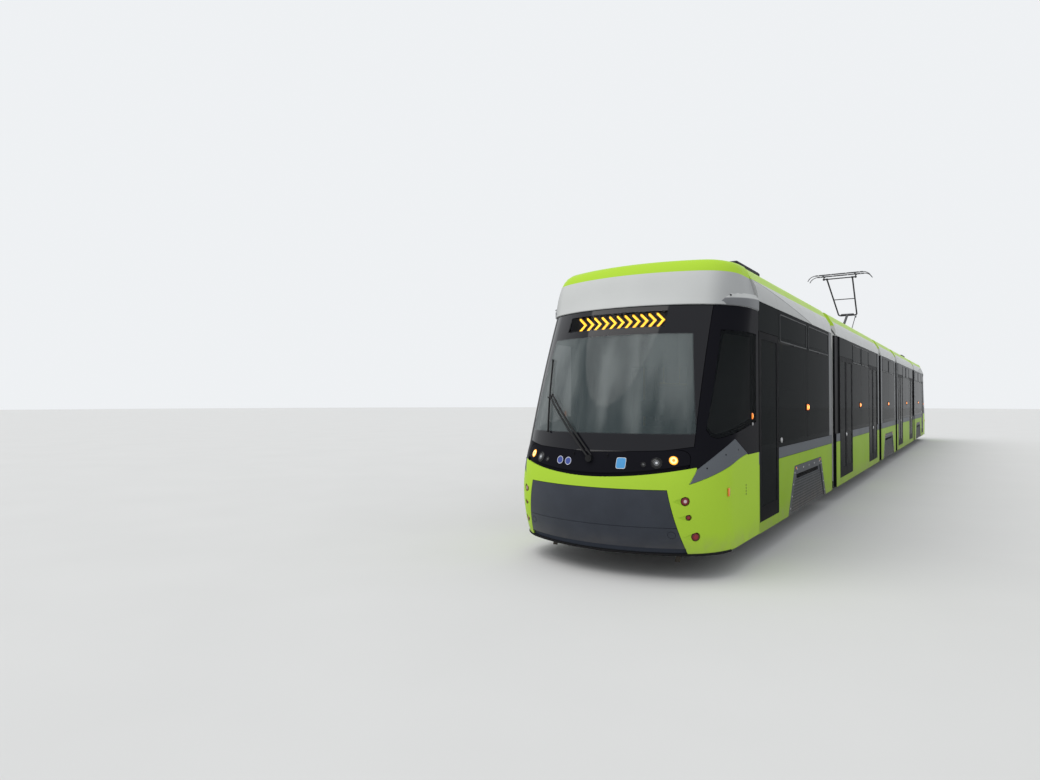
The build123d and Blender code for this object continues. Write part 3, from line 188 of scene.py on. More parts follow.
def sweep(path, profile, up=(0, 0, 1), closed=False):
    """Closed profile of (sideways, upwards) places carried along a path; its ends are capped."""
    path, profile = np.asarray(path, float), np.asarray(profile, float)
    ahead = along(path, closed)
    side = np.cross(ahead, np.broadcast_to(up, ahead.shape))
    side /= np.linalg.norm(side, axis=1, keepdims=True)
    high = np.cross(side, ahead)
    rings = path[:, None] + profile[None, :, :1] * side[:, None] + profile[None, :, 1:] * high[:, None]
    return grid(rings, close_u=True, close_v=True) if closed else solid(rings)


def circle(r, sides=10):
    """Round profile."""
    turn = np.linspace(0, 2 * math.pi, sides, endpoint=False)
    return np.stack([r * np.cos(turn), r * np.sin(turn)], -1)


def bar(wide, high, r=0.002):
    """Four-sided profile with eased corners."""
    x, y = wide / 2, high / 2
    r = min(r, x, y)
    return np.array([(x, -y + r), (x, y - r), (x - r, y), (-x + r, y), (-x, y - r), (-x, -y + r),
                     (-x + r, -y), (x - r, -y)])


def rod(a, b, r):
    """Round bar between two points."""
    ahead = np.subtract(b, a) / np.linalg.norm(np.subtract(b, a))
    return sweep(np.linspace(a, b, 2), circle(r), (1, 0, 0) if abs(ahead[2]) > 0.9 else (0, 0, 1))


def bent(points, r, up=(0, 0, 1), steps=8):
    """Eight-sided bar along a smooth path: a Catmull-Rom curve through the points."""
    p = np.asarray(points, float)
    p = np.concatenate([[2 * p[0] - p[1]], p, [2 * p[-1] - p[-2]]])
    t = np.linspace(0, 1, steps, endpoint=False)[:, None]
    runs = [0.5 * (2 * b + (c - a) * t + (2 * a - 5 * b + 4 * c - d) * t ** 2 + (3 * b - a - 3 * c + d) * t ** 3)
            for a, b, c, d in zip(p[:-3], p[1:-2], p[2:-1], p[3:])]
    return sweep(np.concatenate(runs + [p[-2:-1]]), circle(r, 8), up)


def box(x0, x1, y0, y1, z0, z1, r=0.004):
    """Block between two corners with rounded edges: a ball's points pushed out to the block's eight corners."""
    u = np.radians(np.array([-90, -67.5, -45, -22.5, -1e-4, 1e-4, 22.5, 45, 67.5, 90]))
    v = np.radians(np.concatenate([[q + 1e-4, q + 30, q + 60, q + 90 - 1e-4] for q in (0, 90, 180, 270)]))
    ball = np.stack([np.cos(u)[:, None] * np.cos(v), np.cos(u)[:, None] * np.sin(v),
                     np.broadcast_to(np.sin(u)[:, None], (len(u), len(v)))], -1)
    half = np.array([x1 - x0, y1 - y0, z1 - z0]) / 2
    r = min(r, *(half * 0.98))
    sign = np.where(np.abs(ball) < 1e-9, 0, np.sign(ball))
    sign[:, :, 2] = np.where(u[:, None] > 0, 1, -1)
    points = np.array([x0 + x1, y0 + y1, z0 + z1]) / 2 + sign * (half - r) + r * ball
    return solid(points)


def frame_ring(x0, x1, z0, z1, corner, width, y0, y1):
    """Window frame standing out of the side wall: a rounded rectangle carried round, closed on itself."""
    x, z = (x0 + x1) / 2, (z0 + z1) / 2
    turn = np.radians(np.arange(0, 360, 15) + 7.5)
    px = x + np.sign(np.cos(turn)) * ((x1 - x0) / 2 - corner) + corner * np.cos(turn)
    pz = z + np.sign(np.sin(turn)) * ((z1 - z0) / 2 - corner) + corner * np.sin(turn)
    path = np.stack([px, np.full_like(px, (y0 + y1) / 2), pz], -1)
    return sweep(path, bar(width, y1 - y0, 0.002), up=(0, 1, 0), closed=True)


def nose_level(h):
    """Plan of the nose at each height: the curve through three levels, and straight lines above the glass."""
    h = np.asarray(h, float)[..., None]

    def through(rows):
        levels, total = rows[:, 0], 0.0
        for i, row in enumerate(rows):
            others = np.delete(levels, i)
            total = total + np.prod((h - others) / (levels[i] - others), -1)[..., None] * row[1:]
        return total

    low, middle, fascia, edge = NOSE_PLAN[0:3], NOSE_PLAN[2:5], NOSE_PLAN[4:6], NOSE_PLAN[5:7]
    return np.select([h <= low[2, 0], h <= middle[2, 0], h <= fascia[1, 0]],
                     [through(low), through(middle), through(fascia)], through(edge))


def plan_arcs(h):
    """Tip, shoulder and radius of the front arc, start, half-width and radius of the corner arc at each height."""
    tip_back, shoulder, shoulder_back, corner_back, half = np.moveaxis(nose_level(h), -1, 0)
    dx, dy = corner_back - shoulder_back, half - shoulder
    front = (shoulder ** 2 + shoulder_back ** 2) / (2 * shoulder_back)
    corner = (dx ** 2 + dy ** 2) / (2 * dy)
    return NOSE_TIP - tip_back, shoulder, front, NOSE_TIP - tip_back - corner_back, half, corner


def nose_x(y, h):
    """Place of the nose surface at distances from the middle and heights: two arcs in the plan."""
    tip, shoulder, front, start, half, corner = plan_arcs(h)
    y = np.abs(y)
    ahead = tip - front + np.sqrt(np.maximum(front ** 2 - y ** 2, 0.0))
    aside = start + np.sqrt(np.maximum(corner ** 2 - (np.minimum(y, half) - half + corner) ** 2, 0.0))
    return np.where(y <= shoulder, ahead, aside)


def nose_y(x, h):
    """Half-width of the nose surface at places along the tram and heights: the other way round."""
    tip, shoulder, front, start, half, corner = plan_arcs(h)
    x = np.asarray(x, float)
    ahead = np.sqrt(np.maximum(front ** 2 - (np.minimum(x, tip) - tip + front) ** 2, 0.0))
    aside = half - corner + np.sqrt(np.maximum(corner ** 2 - np.maximum(x - start, 0.0) ** 2, 0.0))
    return np.where(ahead <= shoulder, ahead, aside)


def on_nose(y, h, stand=0.0):
    """Points on the nose's front, standing out of it along their normals, and those normals."""
    y, h, e = np.asarray(y, float), np.asarray(h, float), 0.002
    at = np.stack(np.broadcast_arrays(nose_x(y, h), y, RAIL + h), -1)
    along_y = np.stack(np.broadcast_arrays(nose_x(y + e, h) - nose_x(y - e, h), 2 * e, 0.0), -1)
    along_z = np.stack(np.broadcast_arrays(nose_x(y, h + e) - nose_x(y, h - e), 0.0, 2 * e), -1)
    out = np.cross(along_y, along_z)
    out /= np.linalg.norm(out, axis=-1, keepdims=True)
    return at + np.asarray(stand, float)[..., None] * out, out


def nose_patch(y, h, half_y, half_h, stand, round_share=1.0):
    """Thin plate that lies on the nose's front: rings of a rounded outline from its centre to its rim."""
    turn, rows, thick = np.linspace(0, 2 * math.pi, 28, endpoint=False), 4, 0.002
    power = 2.0 / (2.0 + 6.0 * (1 - round_share))
    cy = np.sign(np.cos(turn)) * np.abs(np.cos(turn)) ** power
    cz = np.sign(np.sin(turn)) * np.abs(np.sin(turn)) ** power
    reach = np.concatenate([[0.0], np.linspace(0.35, 1.0, rows), [1.0, 0.0]])[:, None]
    level = np.array([stand] * (rows + 1) + [stand - thick] * 2)[:, None]
    points, _ = on_nose(y + half_y * reach * cy, h + half_h * reach * cz, level + 0.0 * cy)
    share = np.stack(np.broadcast_arrays(reach, turn / (2 * math.pi)), -1)
    return grid(points, close_v=True, share=share)


def stand_in_scene(name, data):
    """Blender object of some data, linked to the scene."""
    obj = bpy.data.objects.new(name, data)
    bpy.context.collection.objects.link(obj)
    return obj


def piece(name, shape, body, finish, slot, blend=None, smooth=35.0):
    """Blender object of a shape, at the origin, that rides on a body, or stays where it stands when a blend is
    given.
    """
    data = bpy.data.meshes.new(name)
    data.from_pydata(shape.points, [], shape.faces.tolist())
    uv = data.uv_layers.new(name="share")
    corners = np.zeros(len(data.loops), int)
    data.loops.foreach_get("vertex_index", corners)
    uv.data.foreach_set("uv", shape.share[corners].ravel())
    close_up(data)
    data.materials.append(finishes[finish])
    obj = stand_in_scene(name, data)
    data.shade_smooth()
    data.set_sharp_from_angle(angle=math.radians(smooth))
    if blend:
        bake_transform(obj)
    else:
        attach(obj, body)
    return obj


def close_up(data):
    """Closes seams and poles, where points of a grid lie on each other, and turns the faces outwards."""
    work = bmesh.new()
    work.from_mesh(data)
    bmesh.ops.remove_doubles(work, verts=work.verts, dist=2e-5)
    bmesh.ops.dissolve_degenerate(work, dist=1e-6, edges=work.edges)
    bmesh.ops.recalc_face_normals(work, faces=work.faces)
    work.to_mesh(data)
    work.free()


def fit(name, shape, car, finish, slot, **more):
    """The piece on the centre car, or on the front car and, turned half a turn, on the rear car."""
    if car == "centre_car":
        piece(name, shape, car, finish, slot, **more)
        return
    piece(f"front_{name}", shape, f"front_{car}", finish, slot, **more)
    piece(f"rear_{name}", shape.half_turn(), f"rear_{car}", finish, slot, **more)


def at_ends(car, shape):
    """Name of the end, the car's body there, the shape there, and the way from the middle, for both ends."""
    return [(end, car if car == "centre_car" else f"{end}_{car}", own, way)
            for end, own, way in (("front", shape, 1), ("rear", shape.half_turn(), -1))]


def across(name, shape, x, near, far, finish, slot, height):
    """The piece across the gangway at x, and its half-turned copy; returns the objects by end."""
    made = {}
    for (end, near_body, own, way), (_, far_body, _, _) in zip(at_ends(near, shape), at_ends(far, shape)):
        start, stop = ((way * (x + side * GANGWAY / 2), 0, height) for side in (-1, 1))
        made[end] = piece(f"{end}_{name}", own, None, finish, slot, blend=(near_body, far_body, start, stop))
    return made


# Finishes

def math_node(operation, swapped=False):
    """Operator or method of a Value that adds one Math node, with the two sides swapped where asked."""
    if swapped:
        return lambda self, other: self.finish.math(operation, other, self)
    return lambda self, other=0.0: self.finish.math(operation, self, other)


class Value:
    """One output of a shader node. Python's operators on it add Math nodes."""

    __add__, __radd__ = math_node("ADD"), math_node("ADD", True)
    __sub__, __rsub__ = math_node("SUBTRACT"), math_node("SUBTRACT", True)
    __mul__, __rmul__ = math_node("MULTIPLY"), math_node("MULTIPLY", True)
    __truediv__, __mod__, __pow__ = math_node("DIVIDE"), math_node("FLOORED_MODULO"), math_node("POWER")
    __gt__, __lt__ = math_node("GREATER_THAN"), math_node("LESS_THAN")
    __abs__, floor, root, sine = (math_node(name) for name in ("ABSOLUTE", "FLOOR", "SQRT", "SINE"))

    def __init__(self, finish, socket):
        self.finish, self.socket = finish, socket

    def within(self, low, high):
        """1 between two limits, and 0 outside them."""
        return (self > low) * (self < high)

    def ramp(self, low, high):
        """0 below low, 1 above high, and smooth between them."""
        return self.finish.node("ShaderNodeMapRange", {"interpolation_type": "SMOOTHSTEP"},
                                {"Value": self, "From Min": low, "From Max": high})


class Finish:
    """A node material around one Principled shader, built up by named steps."""

    def __init__(self, name, **constants):
        self.material = bpy.data.materials.new(name)
        self.material.use_nodes = True
        self.tree = self.material.node_tree
        self.tree.nodes.clear()
        output = self.tree.nodes.new("ShaderNodeOutputMaterial")
        self.shader = self.tree.nodes.new("ShaderNodeBsdfPrincipled")
        self.tree.links.new(self.shader.outputs[0], output.inputs[0])
        self.place = self.node("ShaderNodeTexCoord", {}, {}, "Object")
        self.x, self.y, self.z = self.parts(self.place)
        for key, value in constants.items():
            self.set(key.title().replace("Ior", "IOR"), value)

    def give(self, socket, value):
        """Links a value to a socket, or sets the socket itself."""
        if isinstance(value, Value):
            self.tree.links.new(value.socket, socket)
        else:
            socket.default_value = (*value, 1) if socket.type == "RGBA" else value

    def node(self, kind, settings, inputs, output=0):
        """Adds a node: its type, its settings, and the values or links of its sockets."""
        made = self.tree.nodes.new(kind)
        for key, value in settings.items():
            setattr(made, key, value)
        for key, value in inputs.items():
            self.give(made.inputs[key], value)
        return Value(self, made.outputs[output])

    def math(self, operation, a, b=0.0):
        """One Math node."""
        return self.node("ShaderNodeMath", {"operation": operation}, {0: a, 1: b})

    def parts(self, vector):
        """The x, y and z of a vector."""
        split = self.node("ShaderNodeSeparateXYZ", {}, {0: vector})
        return [Value(self, socket) for socket in split.socket.node.outputs]

    def share(self):
        """How far out a point lies on its lens or disc, and its turn, from the piece's own UV map."""
        return self.parts(self.node("ShaderNodeUVMap", {"uv_map": "share"}, {}))[:2]

    def mix(self, factor, a, b):
        """Colour a where the factor is 0, and b where it is 1."""
        return self.node("ShaderNodeMix", {"data_type": "RGBA"}, {0: factor, 6: a, 7: b}, 2)

    def noise(self, scale, detail=3.0, stretch=None):
        """Cloudy pattern between about 0.3 and 0.7, its cells 1 / scale metres."""
        place = self.place
        if stretch:
            place = self.node("ShaderNodeVectorMath", {"operation": "MULTIPLY"}, {0: place, 1: stretch})
        return self.node("ShaderNodeTexNoise", {}, {"Vector": place, "Scale": scale, "Detail": detail})

    def clouds(self, colour, least, scale=2.0, detail=3.0):
        """The colour, in clouds down to a share of itself."""
        return self.mix(self.noise(scale, detail), colour, tuple(c * least for c in colour))

    def set(self, name, value):
        """Sets a socket of the shader to a value, or links it."""
        self.give(self.shader.inputs[name], value)

    def gloss(self, base, spread, scale, detail=3.0):
        """Uneven roughness."""
        self.set("Roughness", base + spread * self.noise(scale, detail))

    def bump(self, height, distance, strength=1.0):
        """Relief of the given depth in metres, where the height goes from 0 to 1."""
        self.set("Normal", self.node("ShaderNodeBump", {}, {"Strength": strength, "Distance": distance,
                                                            "Height": height}))

    def orange_peel(self):
        """Relief of sprayed paint."""
        self.bump(self.noise(45.0, 1.0), 0.0006, 0.25)

    def weave(self, fineness):
        """Between -1 and 1 in the pattern of a woven cloth."""
        return (self.z * fineness).sine() * (self.y * fineness).sine()

    def own_y(self):
        """Place across the tram as seen from its nearer end, the same at both ends."""
        return self.y * (2 * (self.x > 0) - 1)

    def panel_joints(self, half_wide):
        """1 on the joints between the panels along the side."""
        return abs((abs(self.x) + PANEL / 4) % PANEL - PANEL / 2) < half_wide

    def dirty(self, colour, top, amount, low=0.0):
        """The colour with road dust that thickens downwards from a height."""
        depth = 1 - self.z.ramp(RAIL + low, RAIL + top)
        specks = self.noise(6.0, 5.0).ramp(0.40, 0.65)
        return self.mix(depth * amount * (0.45 + 0.55 * specks), colour, DUST)


def side_panels():
    """Lime lower panels, grey belt, silver posts at the inner ends; black frames behind the glass."""
    f = Finish("side_panels", ior=1.04)
    span = abs(f.x)
    post = (span.within(CENTRE_END - 0.24, CENTRE_END + 0.01) + span.within(MID_START - 0.01, MID_START + END_POST) +
            span.within(CAB_START - 0.01, CAB_START + END_POST))
    lime = f.mix(f.noise(1.3), (0.31, 0.49, 0.040), (0.27, 0.43, 0.036))
    lime = f.dirty(f.mix(f.panel_joints(0.0016) * 0.75, lime, BLACK), 0.55, 0.35, SKIRT)
    panel = f.mix(f.z > RAIL + BAND_LOW, lime, TRIM_GREY)
    panel = f.mix((f.z > RAIL + BELT + 0.002) * post, panel, (0.20, 0.205, 0.21))
    inner = f.mix(abs(f.y) > HALF - 0.058, (0.55, 0.56, 0.55), BLACK)
    f.set("Base Color", f.mix(abs(f.y) > HALF - 0.0015, inner, panel))
    f.gloss(0.24, 0.12, 2.2, 4.0)
    f.orange_peel()
    return f.material


def roof_skin():
    """Silver leaning fairings with a lime edge rail, dusty deck, pale equipment boxes."""
    f = Finish("roof_skin", ior=1.20)
    z, side = f.z, abs(f.y)
    fairing = side > 1.0
    silver = f.mix(f.panel_joints(0.0018) * 0.6, f.clouds(SILVER, 0.86), BLACK)
    outside = f.mix((z > RAIL + 3.285) * (side > 0.95), silver, LIME)
    deck = f.mix(f.noise(1.6, 6.0, (0.5, 1.3, 1)).ramp(0.25, 0.80), (0.125, 0.125, 0.124), (0.180, 0.173, 0.160))
    lid = f.mix(f.noise(3.0, 4.0), (0.36, 0.37, 0.37), (0.27, 0.27, 0.26))
    lid = f.mix(abs(f.x).within(*ROOF_UNIT), lid, (0.030, 0.031, 0.034))
    inside = f.mix((z > RAIL + 3.10) * (side < 0.85), deck, lid)
    f.set("Base Color", f.mix(fairing, inside, outside))
    f.set("Roughness", 0.62 - 0.30 * fairing)
    f.bump(f.noise(30.0), 0.002, 0.3)
    return f.material


def shoulder_skin():
    """Rounded roof shoulders: silver, lime above and on the ends, with a swept seam behind the cab."""
    f = Finish("roof_shoulders", ior=1.16)
    span, h = abs(f.x), f.z - RAIL
    run = (NOSE_BACK - span) / 3.05
    line = 3.280 - 0.265 * f.math("MAXIMUM", run, 0.0) ** 1.15
    swept = span.within(10.56, 13.64)
    silver = f.mix(swept * (h < line) * 0.22, f.clouds(SILVER, 0.86), BLACK)
    for seam in (swept * (abs(h - line) < 0.005) * 0.8, f.panel_joints(0.0018) * 0.5):
        silver = f.mix(seam, silver, BLACK)
    ends = [span.within(stop - 0.06, stop + 0.01) for stop in (CENTRE_END, MID_END)]
    ends += [span.within(start - 0.01, start + 0.06) for start in (MID_START, CAB_START)]
    f.set("Base Color", f.mix((sum(ends) * (h > 3.19) + (h > 3.278)) > 0.5, silver, LIME))
    f.gloss(0.28, 0.12, 3.0)
    f.orange_peel()
    return f.material


def pod_paint():
    """Silver pods, their lower faces painted dark grey: painted shade."""
    f = Finish("brow_pods", ior=1.12)
    h = f.z - RAIL
    edge = 2.975 + 0.045 * ((POD_KNEE - abs(f.x)) / (POD_KNEE - NOSE_BACK))
    # Below the edge line the pods are painted dark grey, a painted shade of their lower faces.
    tone = f.mix((h - edge).ramp(-0.012, 0.004), (0.17, 0.175, 0.185), SILVER)
    f.set("Base Color", f.mix(f.noise(3.0) * 0.5, tone, (0.25, 0.255, 0.26)))
    f.gloss(0.28, 0.12, 3.0)
    f.orange_peel()
    return f.material


def circle_through(a, b, c):
    """Centre and radius of the circle through three points of a plane."""
    (ax, ay), (bx, by), (cx, cy) = a, b, c
    d = 2 * (ax * (by - cy) + bx * (cy - ay) + cx * (ay - by))
    ux = ((ax ** 2 + ay ** 2) * (by - cy) + (bx ** 2 + by ** 2) * (cy - ay) + (cx ** 2 + cy ** 2) * (ay - by)) / d
    uy = ((ax ** 2 + ay ** 2) * (cx - bx) + (bx ** 2 + by ** 2) * (ax - cx) + (cx ** 2 + cy ** 2) * (bx - ax)) / d
    return ux, uy, math.hypot(ax - ux, ay - uy)


def above_arc(back, h, points):
    """1 where (back, h) lies above the arc through three points that is hollow or bulges, as the points say."""
    cx, cy, r = circle_through(*points)
    far = ((back - cx) * (back - cx) + (h - cy) * (h - cy)).root()
    return far > r if cy < points[1][1] else far < r


def nose_skin():
    """Lime nose with black glass surround, grey corner trims, silver fascia with painted shade towards its corners,
    and lime roof edge.
    """
    f = Finish("nose_skin", ior=1.04)
    side, h, back = abs(f.y), f.z - RAIL, NOSE_TIP - abs(f.x)
    foot, low, rear, tip, high, front = TRIM
    over_low = above_arc(back, h, (foot, low, rear))
    over_high = above_arc(back, h, (tip, high, front))
    rear_line = h > tip[1] + (back - tip[0]) * ((rear[1] - tip[1]) / (rear[0] - tip[0]))
    ahead = h > foot[1] + (back - foot[0]) * ((front[1] - foot[1]) / (front[0] - foot[0]))
    corner = side > 0.93
    trim = corner * over_low * (1 - over_high) * (1 - rear_line) * (1 - ahead)
    panel_line = h > 1.03 + 0.103 * side * side
    black_front = (back < front[0]) * panel_line
    black_side = back.within(front[0], tip[0]) * over_high + back.within(tip[0], rear[0]) * rear_line
    black_rear = (back > rear[0]) * (h > BELT - 0.003)
    black_middle = (side < 0.93) * panel_line
    glassy = (black_front + black_side + black_rear + black_middle > 0.5) * (h < FASCIA)
    lime = f.dirty(f.clouds(LIME, 0.92, 1.3), 0.50, 0.30, SKIRT)
    lime = f.mix((h < 0.313) * (side < 0.933), lime, ANTHRACITE)
    skin = f.mix(glassy, lime, (0.010, 0.010, 0.013))
    skin = f.mix(trim, skin, TRIM_GREY)
    # The silver turns darker grey towards the fascia's corners and sides: painted shade.
    silver = f.mix(side.ramp(0.90, 1.12) * 0.45, f.clouds(SILVER, 0.90), (0.22, 0.225, 0.235))
    f.set("Base Color", f.mix(h > LIME_EDGE, f.mix(h > FASCIA, skin, silver), LIME))
    f.gloss(0.18 + 0.27 * trim, 0.06, 3.0)
    f.orange_peel()
    return f.material


def front_glass():
    """Windscreen: black printed border, clear middle with a painted reflection in grey patches, and a clear strip
    before the destination display.
    """
    f = Finish("front_glass", ior=1.34)
    side, h = abs(f.y), f.z - RAIL
    rim = side - 0.132 * (2.55 - h)
    clear = rim.ramp(0.870, 0.850) * h.ramp(1.47, 1.49) * h.ramp(2.56, 2.54)
    beside = abs(f.own_y() + 0.040)
    strip = beside.ramp(0.625, 0.610) * h.ramp(2.630, 2.640) * h.ramp(2.822, 2.812)
    # The clear middle's colour, lighter and darker in patches, is partly the glass's dark tint and partly a painted
    # reflection.
    reflection_patches = f.noise(0.9, 3.0, (1, 3.0, 0.6)).ramp(0.40, 0.66)
    tint_and_reflection = f.mix(reflection_patches, (0.050, 0.068, 0.072), (0.170, 0.195, 0.195))
    f.set("Base Color", f.mix(clear, (0.008, 0.008, 0.011), tint_and_reflection))
    f.set("Alpha", 1.0 - 0.40 * clear - 0.86 * strip)
    f.gloss(0.03, 0.03, 3.0, 2.0)
    return f.material


def tinted_glass():
    """Dark side glass with a black printed border along its foot and top."""
    f = Finish("tinted_side_glass", ior=1.02)
    h = f.z - RAIL
    cab = abs(f.x) > NOSE_BACK
    clear = h.ramp(BELT + 0.055, BELT + 0.075) * h.ramp(HEADER + 0.01, HEADER - 0.01)
    low = (h < BELT) * (h > SILL)
    f.set("Base Color", f.mix(f.noise(0.8, 2.0), (0.010, 0.012, 0.013), (0.018, 0.020, 0.021)))
    f.set("Alpha", 1.0 - (0.12 + 0.38 * cab) * clear - 0.10 * low)
    f.gloss(0.03, 0.04, 1.5)
    return f.material


def plain_paint(name, colour, roughness, dust=0.0, top=0.9, grain=40.0, metallic=0.0, ior=1.30):
    """Painted or moulded surface: mottled colour, uneven gloss, fine grain, and dust where asked."""
    f = Finish(name, ior=ior, metallic=metallic)
    tone = f.mix(f.noise(4.0, 4.0).ramp(0.3, 0.7), tuple(c * 0.86 for c in colour), colour)
    f.set("Base Color", f.dirty(tone, top, dust) if dust else tone)
    f.gloss(roughness - 0.06, 0.14, 9.0, 4.0)
    f.bump(f.noise(grain), 0.0006, 0.5)
    return f.material


def lens(name, rings, base=None, strength=0.0, roughness=0.08, metallic=0.0):
    """Lamp lens or reflector: rings of colour from its middle to its rim, over fine prisms.

    rings holds (how far out the ring reaches, colour). Where strength is set, the rings shine and the
    lens itself has the colour base."""
    f = Finish(name, metallic=metallic)
    reach, turn = f.share()
    tone = rings[0][1]
    for (edge, _), (_, colour) in zip(rings, rings[1:]):
        tone = f.mix(reach.ramp(edge - 0.05, edge + 0.05), tone, colour)
    if strength:
        f.set("Base Color", base)
        f.set("Emission Color", tone)
        f.set("Emission Strength", strength)
    else:
        f.set("Base Color", tone)
    f.gloss(roughness, 0.05, 40.0, 2.0)
    prism = 0.5 + 0.5 * (turn * (2 * math.pi * 18)).sine() * (reach * 22.0).sine()
    f.bump(prism, 0.0012, 0.35)
    return f.material


def display_face():
    """Amber dot display behind the windscreen: a row of chevrons of dots, 13 dots high."""
    f = Finish("amber_display")
    y = f.own_y() + DISPLAY_START
    column, row = y / DOT, (f.z - DISPLAY_FOOT) / DOT
    cell, tall = column.floor() % 8.0, row.floor()
    lit = abs(cell - (6.0 - abs(tall - 6.0))) < 1.1
    shown = tall.within(-0.5, 12.5) * y.within(0.0, 1.0995)
    off_y, off_z = abs(column % 1.0 - 0.5), abs(row % 1.0 - 0.5)
    dot = (off_y * off_y + off_z * off_z) < 0.17
    f.set("Base Color", f.mix(dot * shown, (0.006, 0.006, 0.006), (0.030, 0.022, 0.010)))
    f.set("Emission Color", f.mix(lit * shown * dot, (0.0, 0.0, 0.0), (1.0, 0.50, 0.035)))
    f.set("Emission Strength", 5.0)
    f.set("Roughness", 0.5)
    return f.material


def sign_disc(name, colour, ring):
    """Printed disc or square on the lamp panel: plain field and a white ring near its rim."""
    f = Finish(name)
    reach, _ = f.share()
    white = reach.within(0.86, 0.97) if ring else reach > 0.93
    f.set("Base Color", f.mix(white, f.clouds(colour, 0.85, 60.0, 2.0), (0.75, 0.76, 0.76)))
    f.gloss(0.28, 0.06, 30.0, 2.0)
    return f.material


def perforated():
    """Sheet with rows of round holes, offset from row to row, dusty towards its foot."""
    f = Finish("perforated_sheet", ior=1.15)
    pitch = 0.047
    up = f.z / (pitch * 0.87)
    across_x = (f.x / pitch + up.floor() * 0.5) % 1.0 - 0.5
    up = up % 1.0 - 0.5
    hole = (across_x * across_x + up * up * 0.76) < 0.085
    tone = f.dirty(f.clouds((0.075, 0.080, 0.088), 0.8, 4.0, 4.0), 0.7, 0.22, SKIRT)
    f.set("Base Color", f.mix(hole, tone, (0.008, 0.008, 0.008)))
    f.gloss(0.45, 0.15, 9.0)
    f.bump(1 - hole, 0.002, 0.8)
    return f.material


def pleated_cloth():
    """Coated bellows cloth: fine weave, lighter and darker in clouds, and dust low down."""
    f = Finish("bellows_cloth")
    tone = f.mix(f.noise(7.0, 4.0).ramp(0.35, 0.7), (0.016, 0.016, 0.018), (0.034, 0.034, 0.036))
    f.set("Base Color", f.dirty(tone, 1.2, 0.35))
    f.gloss(0.70, 0.12, 9.0)
    f.bump(0.5 + 0.5 * f.weave(900.0), 0.0005, 0.5)
    return f.material


def seat_cloth():
    """Seats and cab: patterned blue-green cloth on the shells, grey frames, black desk and display."""
    f = Finish("seats_and_cab")
    x, side, h = abs(f.x), abs(f.y), f.z - RAIL
    fleck = f.noise(55.0, 2.0).ramp(0.52, 0.60)
    cloth = f.mix(fleck, (0.020, 0.035, 0.075), (0.10, 0.20, 0.08))
    frame_tone = f.mix(f.noise(5.0), (0.23, 0.24, 0.25), (0.28, 0.29, 0.30))
    cab = x > NOSE_BACK - 0.02
    seat_part = (side > 0.62) * (side < 1.15) * (1 - cab)
    driver = cab * (side < 0.27) * (x < 14.5) * (h > 0.70)
    tone = f.mix(seat_part + driver, frame_tone, cloth)
    tone = f.mix(cab * (x > 14.5), tone, (0.020, 0.020, 0.022))
    f.set("Base Color", tone)
    f.gloss(0.68, 0.12, 12.0)
    f.bump((0.5 + 0.5 * f.weave(420.0)) * (seat_part + driver), 0.0008, 0.4)
    return f.material


def floor_finish():
    """Speckled grey floor covering on top, dusty black frame underneath."""
    f = Finish("floor_and_frame")
    top = f.z > RAIL + FLOOR - 0.004
    speck = f.noise(180.0, 1.0).ramp(0.55, 0.60)
    cover = f.mix(speck, (0.10, 0.11, 0.12), (0.19, 0.20, 0.21))
    under = f.mix(f.noise(6.0, 5.0).ramp(0.35, 0.7), (0.020, 0.020, 0.021), (0.075, 0.066, 0.055))
    f.set("Base Color", f.mix(top, under, cover))
    f.gloss(0.55, 0.20, 9.0)
    f.bump(f.noise(60.0), 0.0010, 0.4)
    return f.material


def wheel_finish():
    """Wheelset: bright rolled tread and flange, dull painted disc and axle with brown dust."""
    f = Finish("wheel_steel")
    side = abs(f.y)
    tread = side.within(0.675, 0.800)
    brown = f.mix(f.noise(14.0, 5.0).ramp(0.35, 0.7), (0.050, 0.038, 0.030), (0.11, 0.075, 0.050))
    bright = f.mix(f.noise(30.0, 3.0, (1, 8, 1)), (0.42, 0.40, 0.38), (0.58, 0.56, 0.53))
    f.set("Base Color", f.mix(tread, brown, bright))
    f.set("Metallic", 0.15 + 0.75 * tread)
    f.gloss(0.62 - 0.30 * tread, 0.10, 20.0)
    f.bump(f.noise(40.0, 4.0), 0.0012, 0.5)
    return f.material


def pantograph_finish():
    """Grey painted tubes, red-brown ribbed insulators under the frame, dark carbon strips on top."""
    f = Finish("pantograph_steel")
    h = f.z - RAIL
    feet = (h < 3.545) * (abs(f.y) > 0.34) * (abs(f.x) > 0.40)
    strip = h > 5.548
    tube = f.mix(f.noise(12.0, 4.0), (0.050, 0.052, 0.056), (0.085, 0.086, 0.090))
    tube = f.mix(feet, tube, (0.16, 0.045, 0.025))
    f.set("Base Color", f.mix(strip, tube, (0.018, 0.018, 0.019)))
    f.gloss(0.42 - 0.22 * feet, 0.12, 18.0)
    f.set("Metallic", 0.45 * (1 - feet))
    f.bump(f.noise(60.0), 0.0006, 0.4)
    return f.material


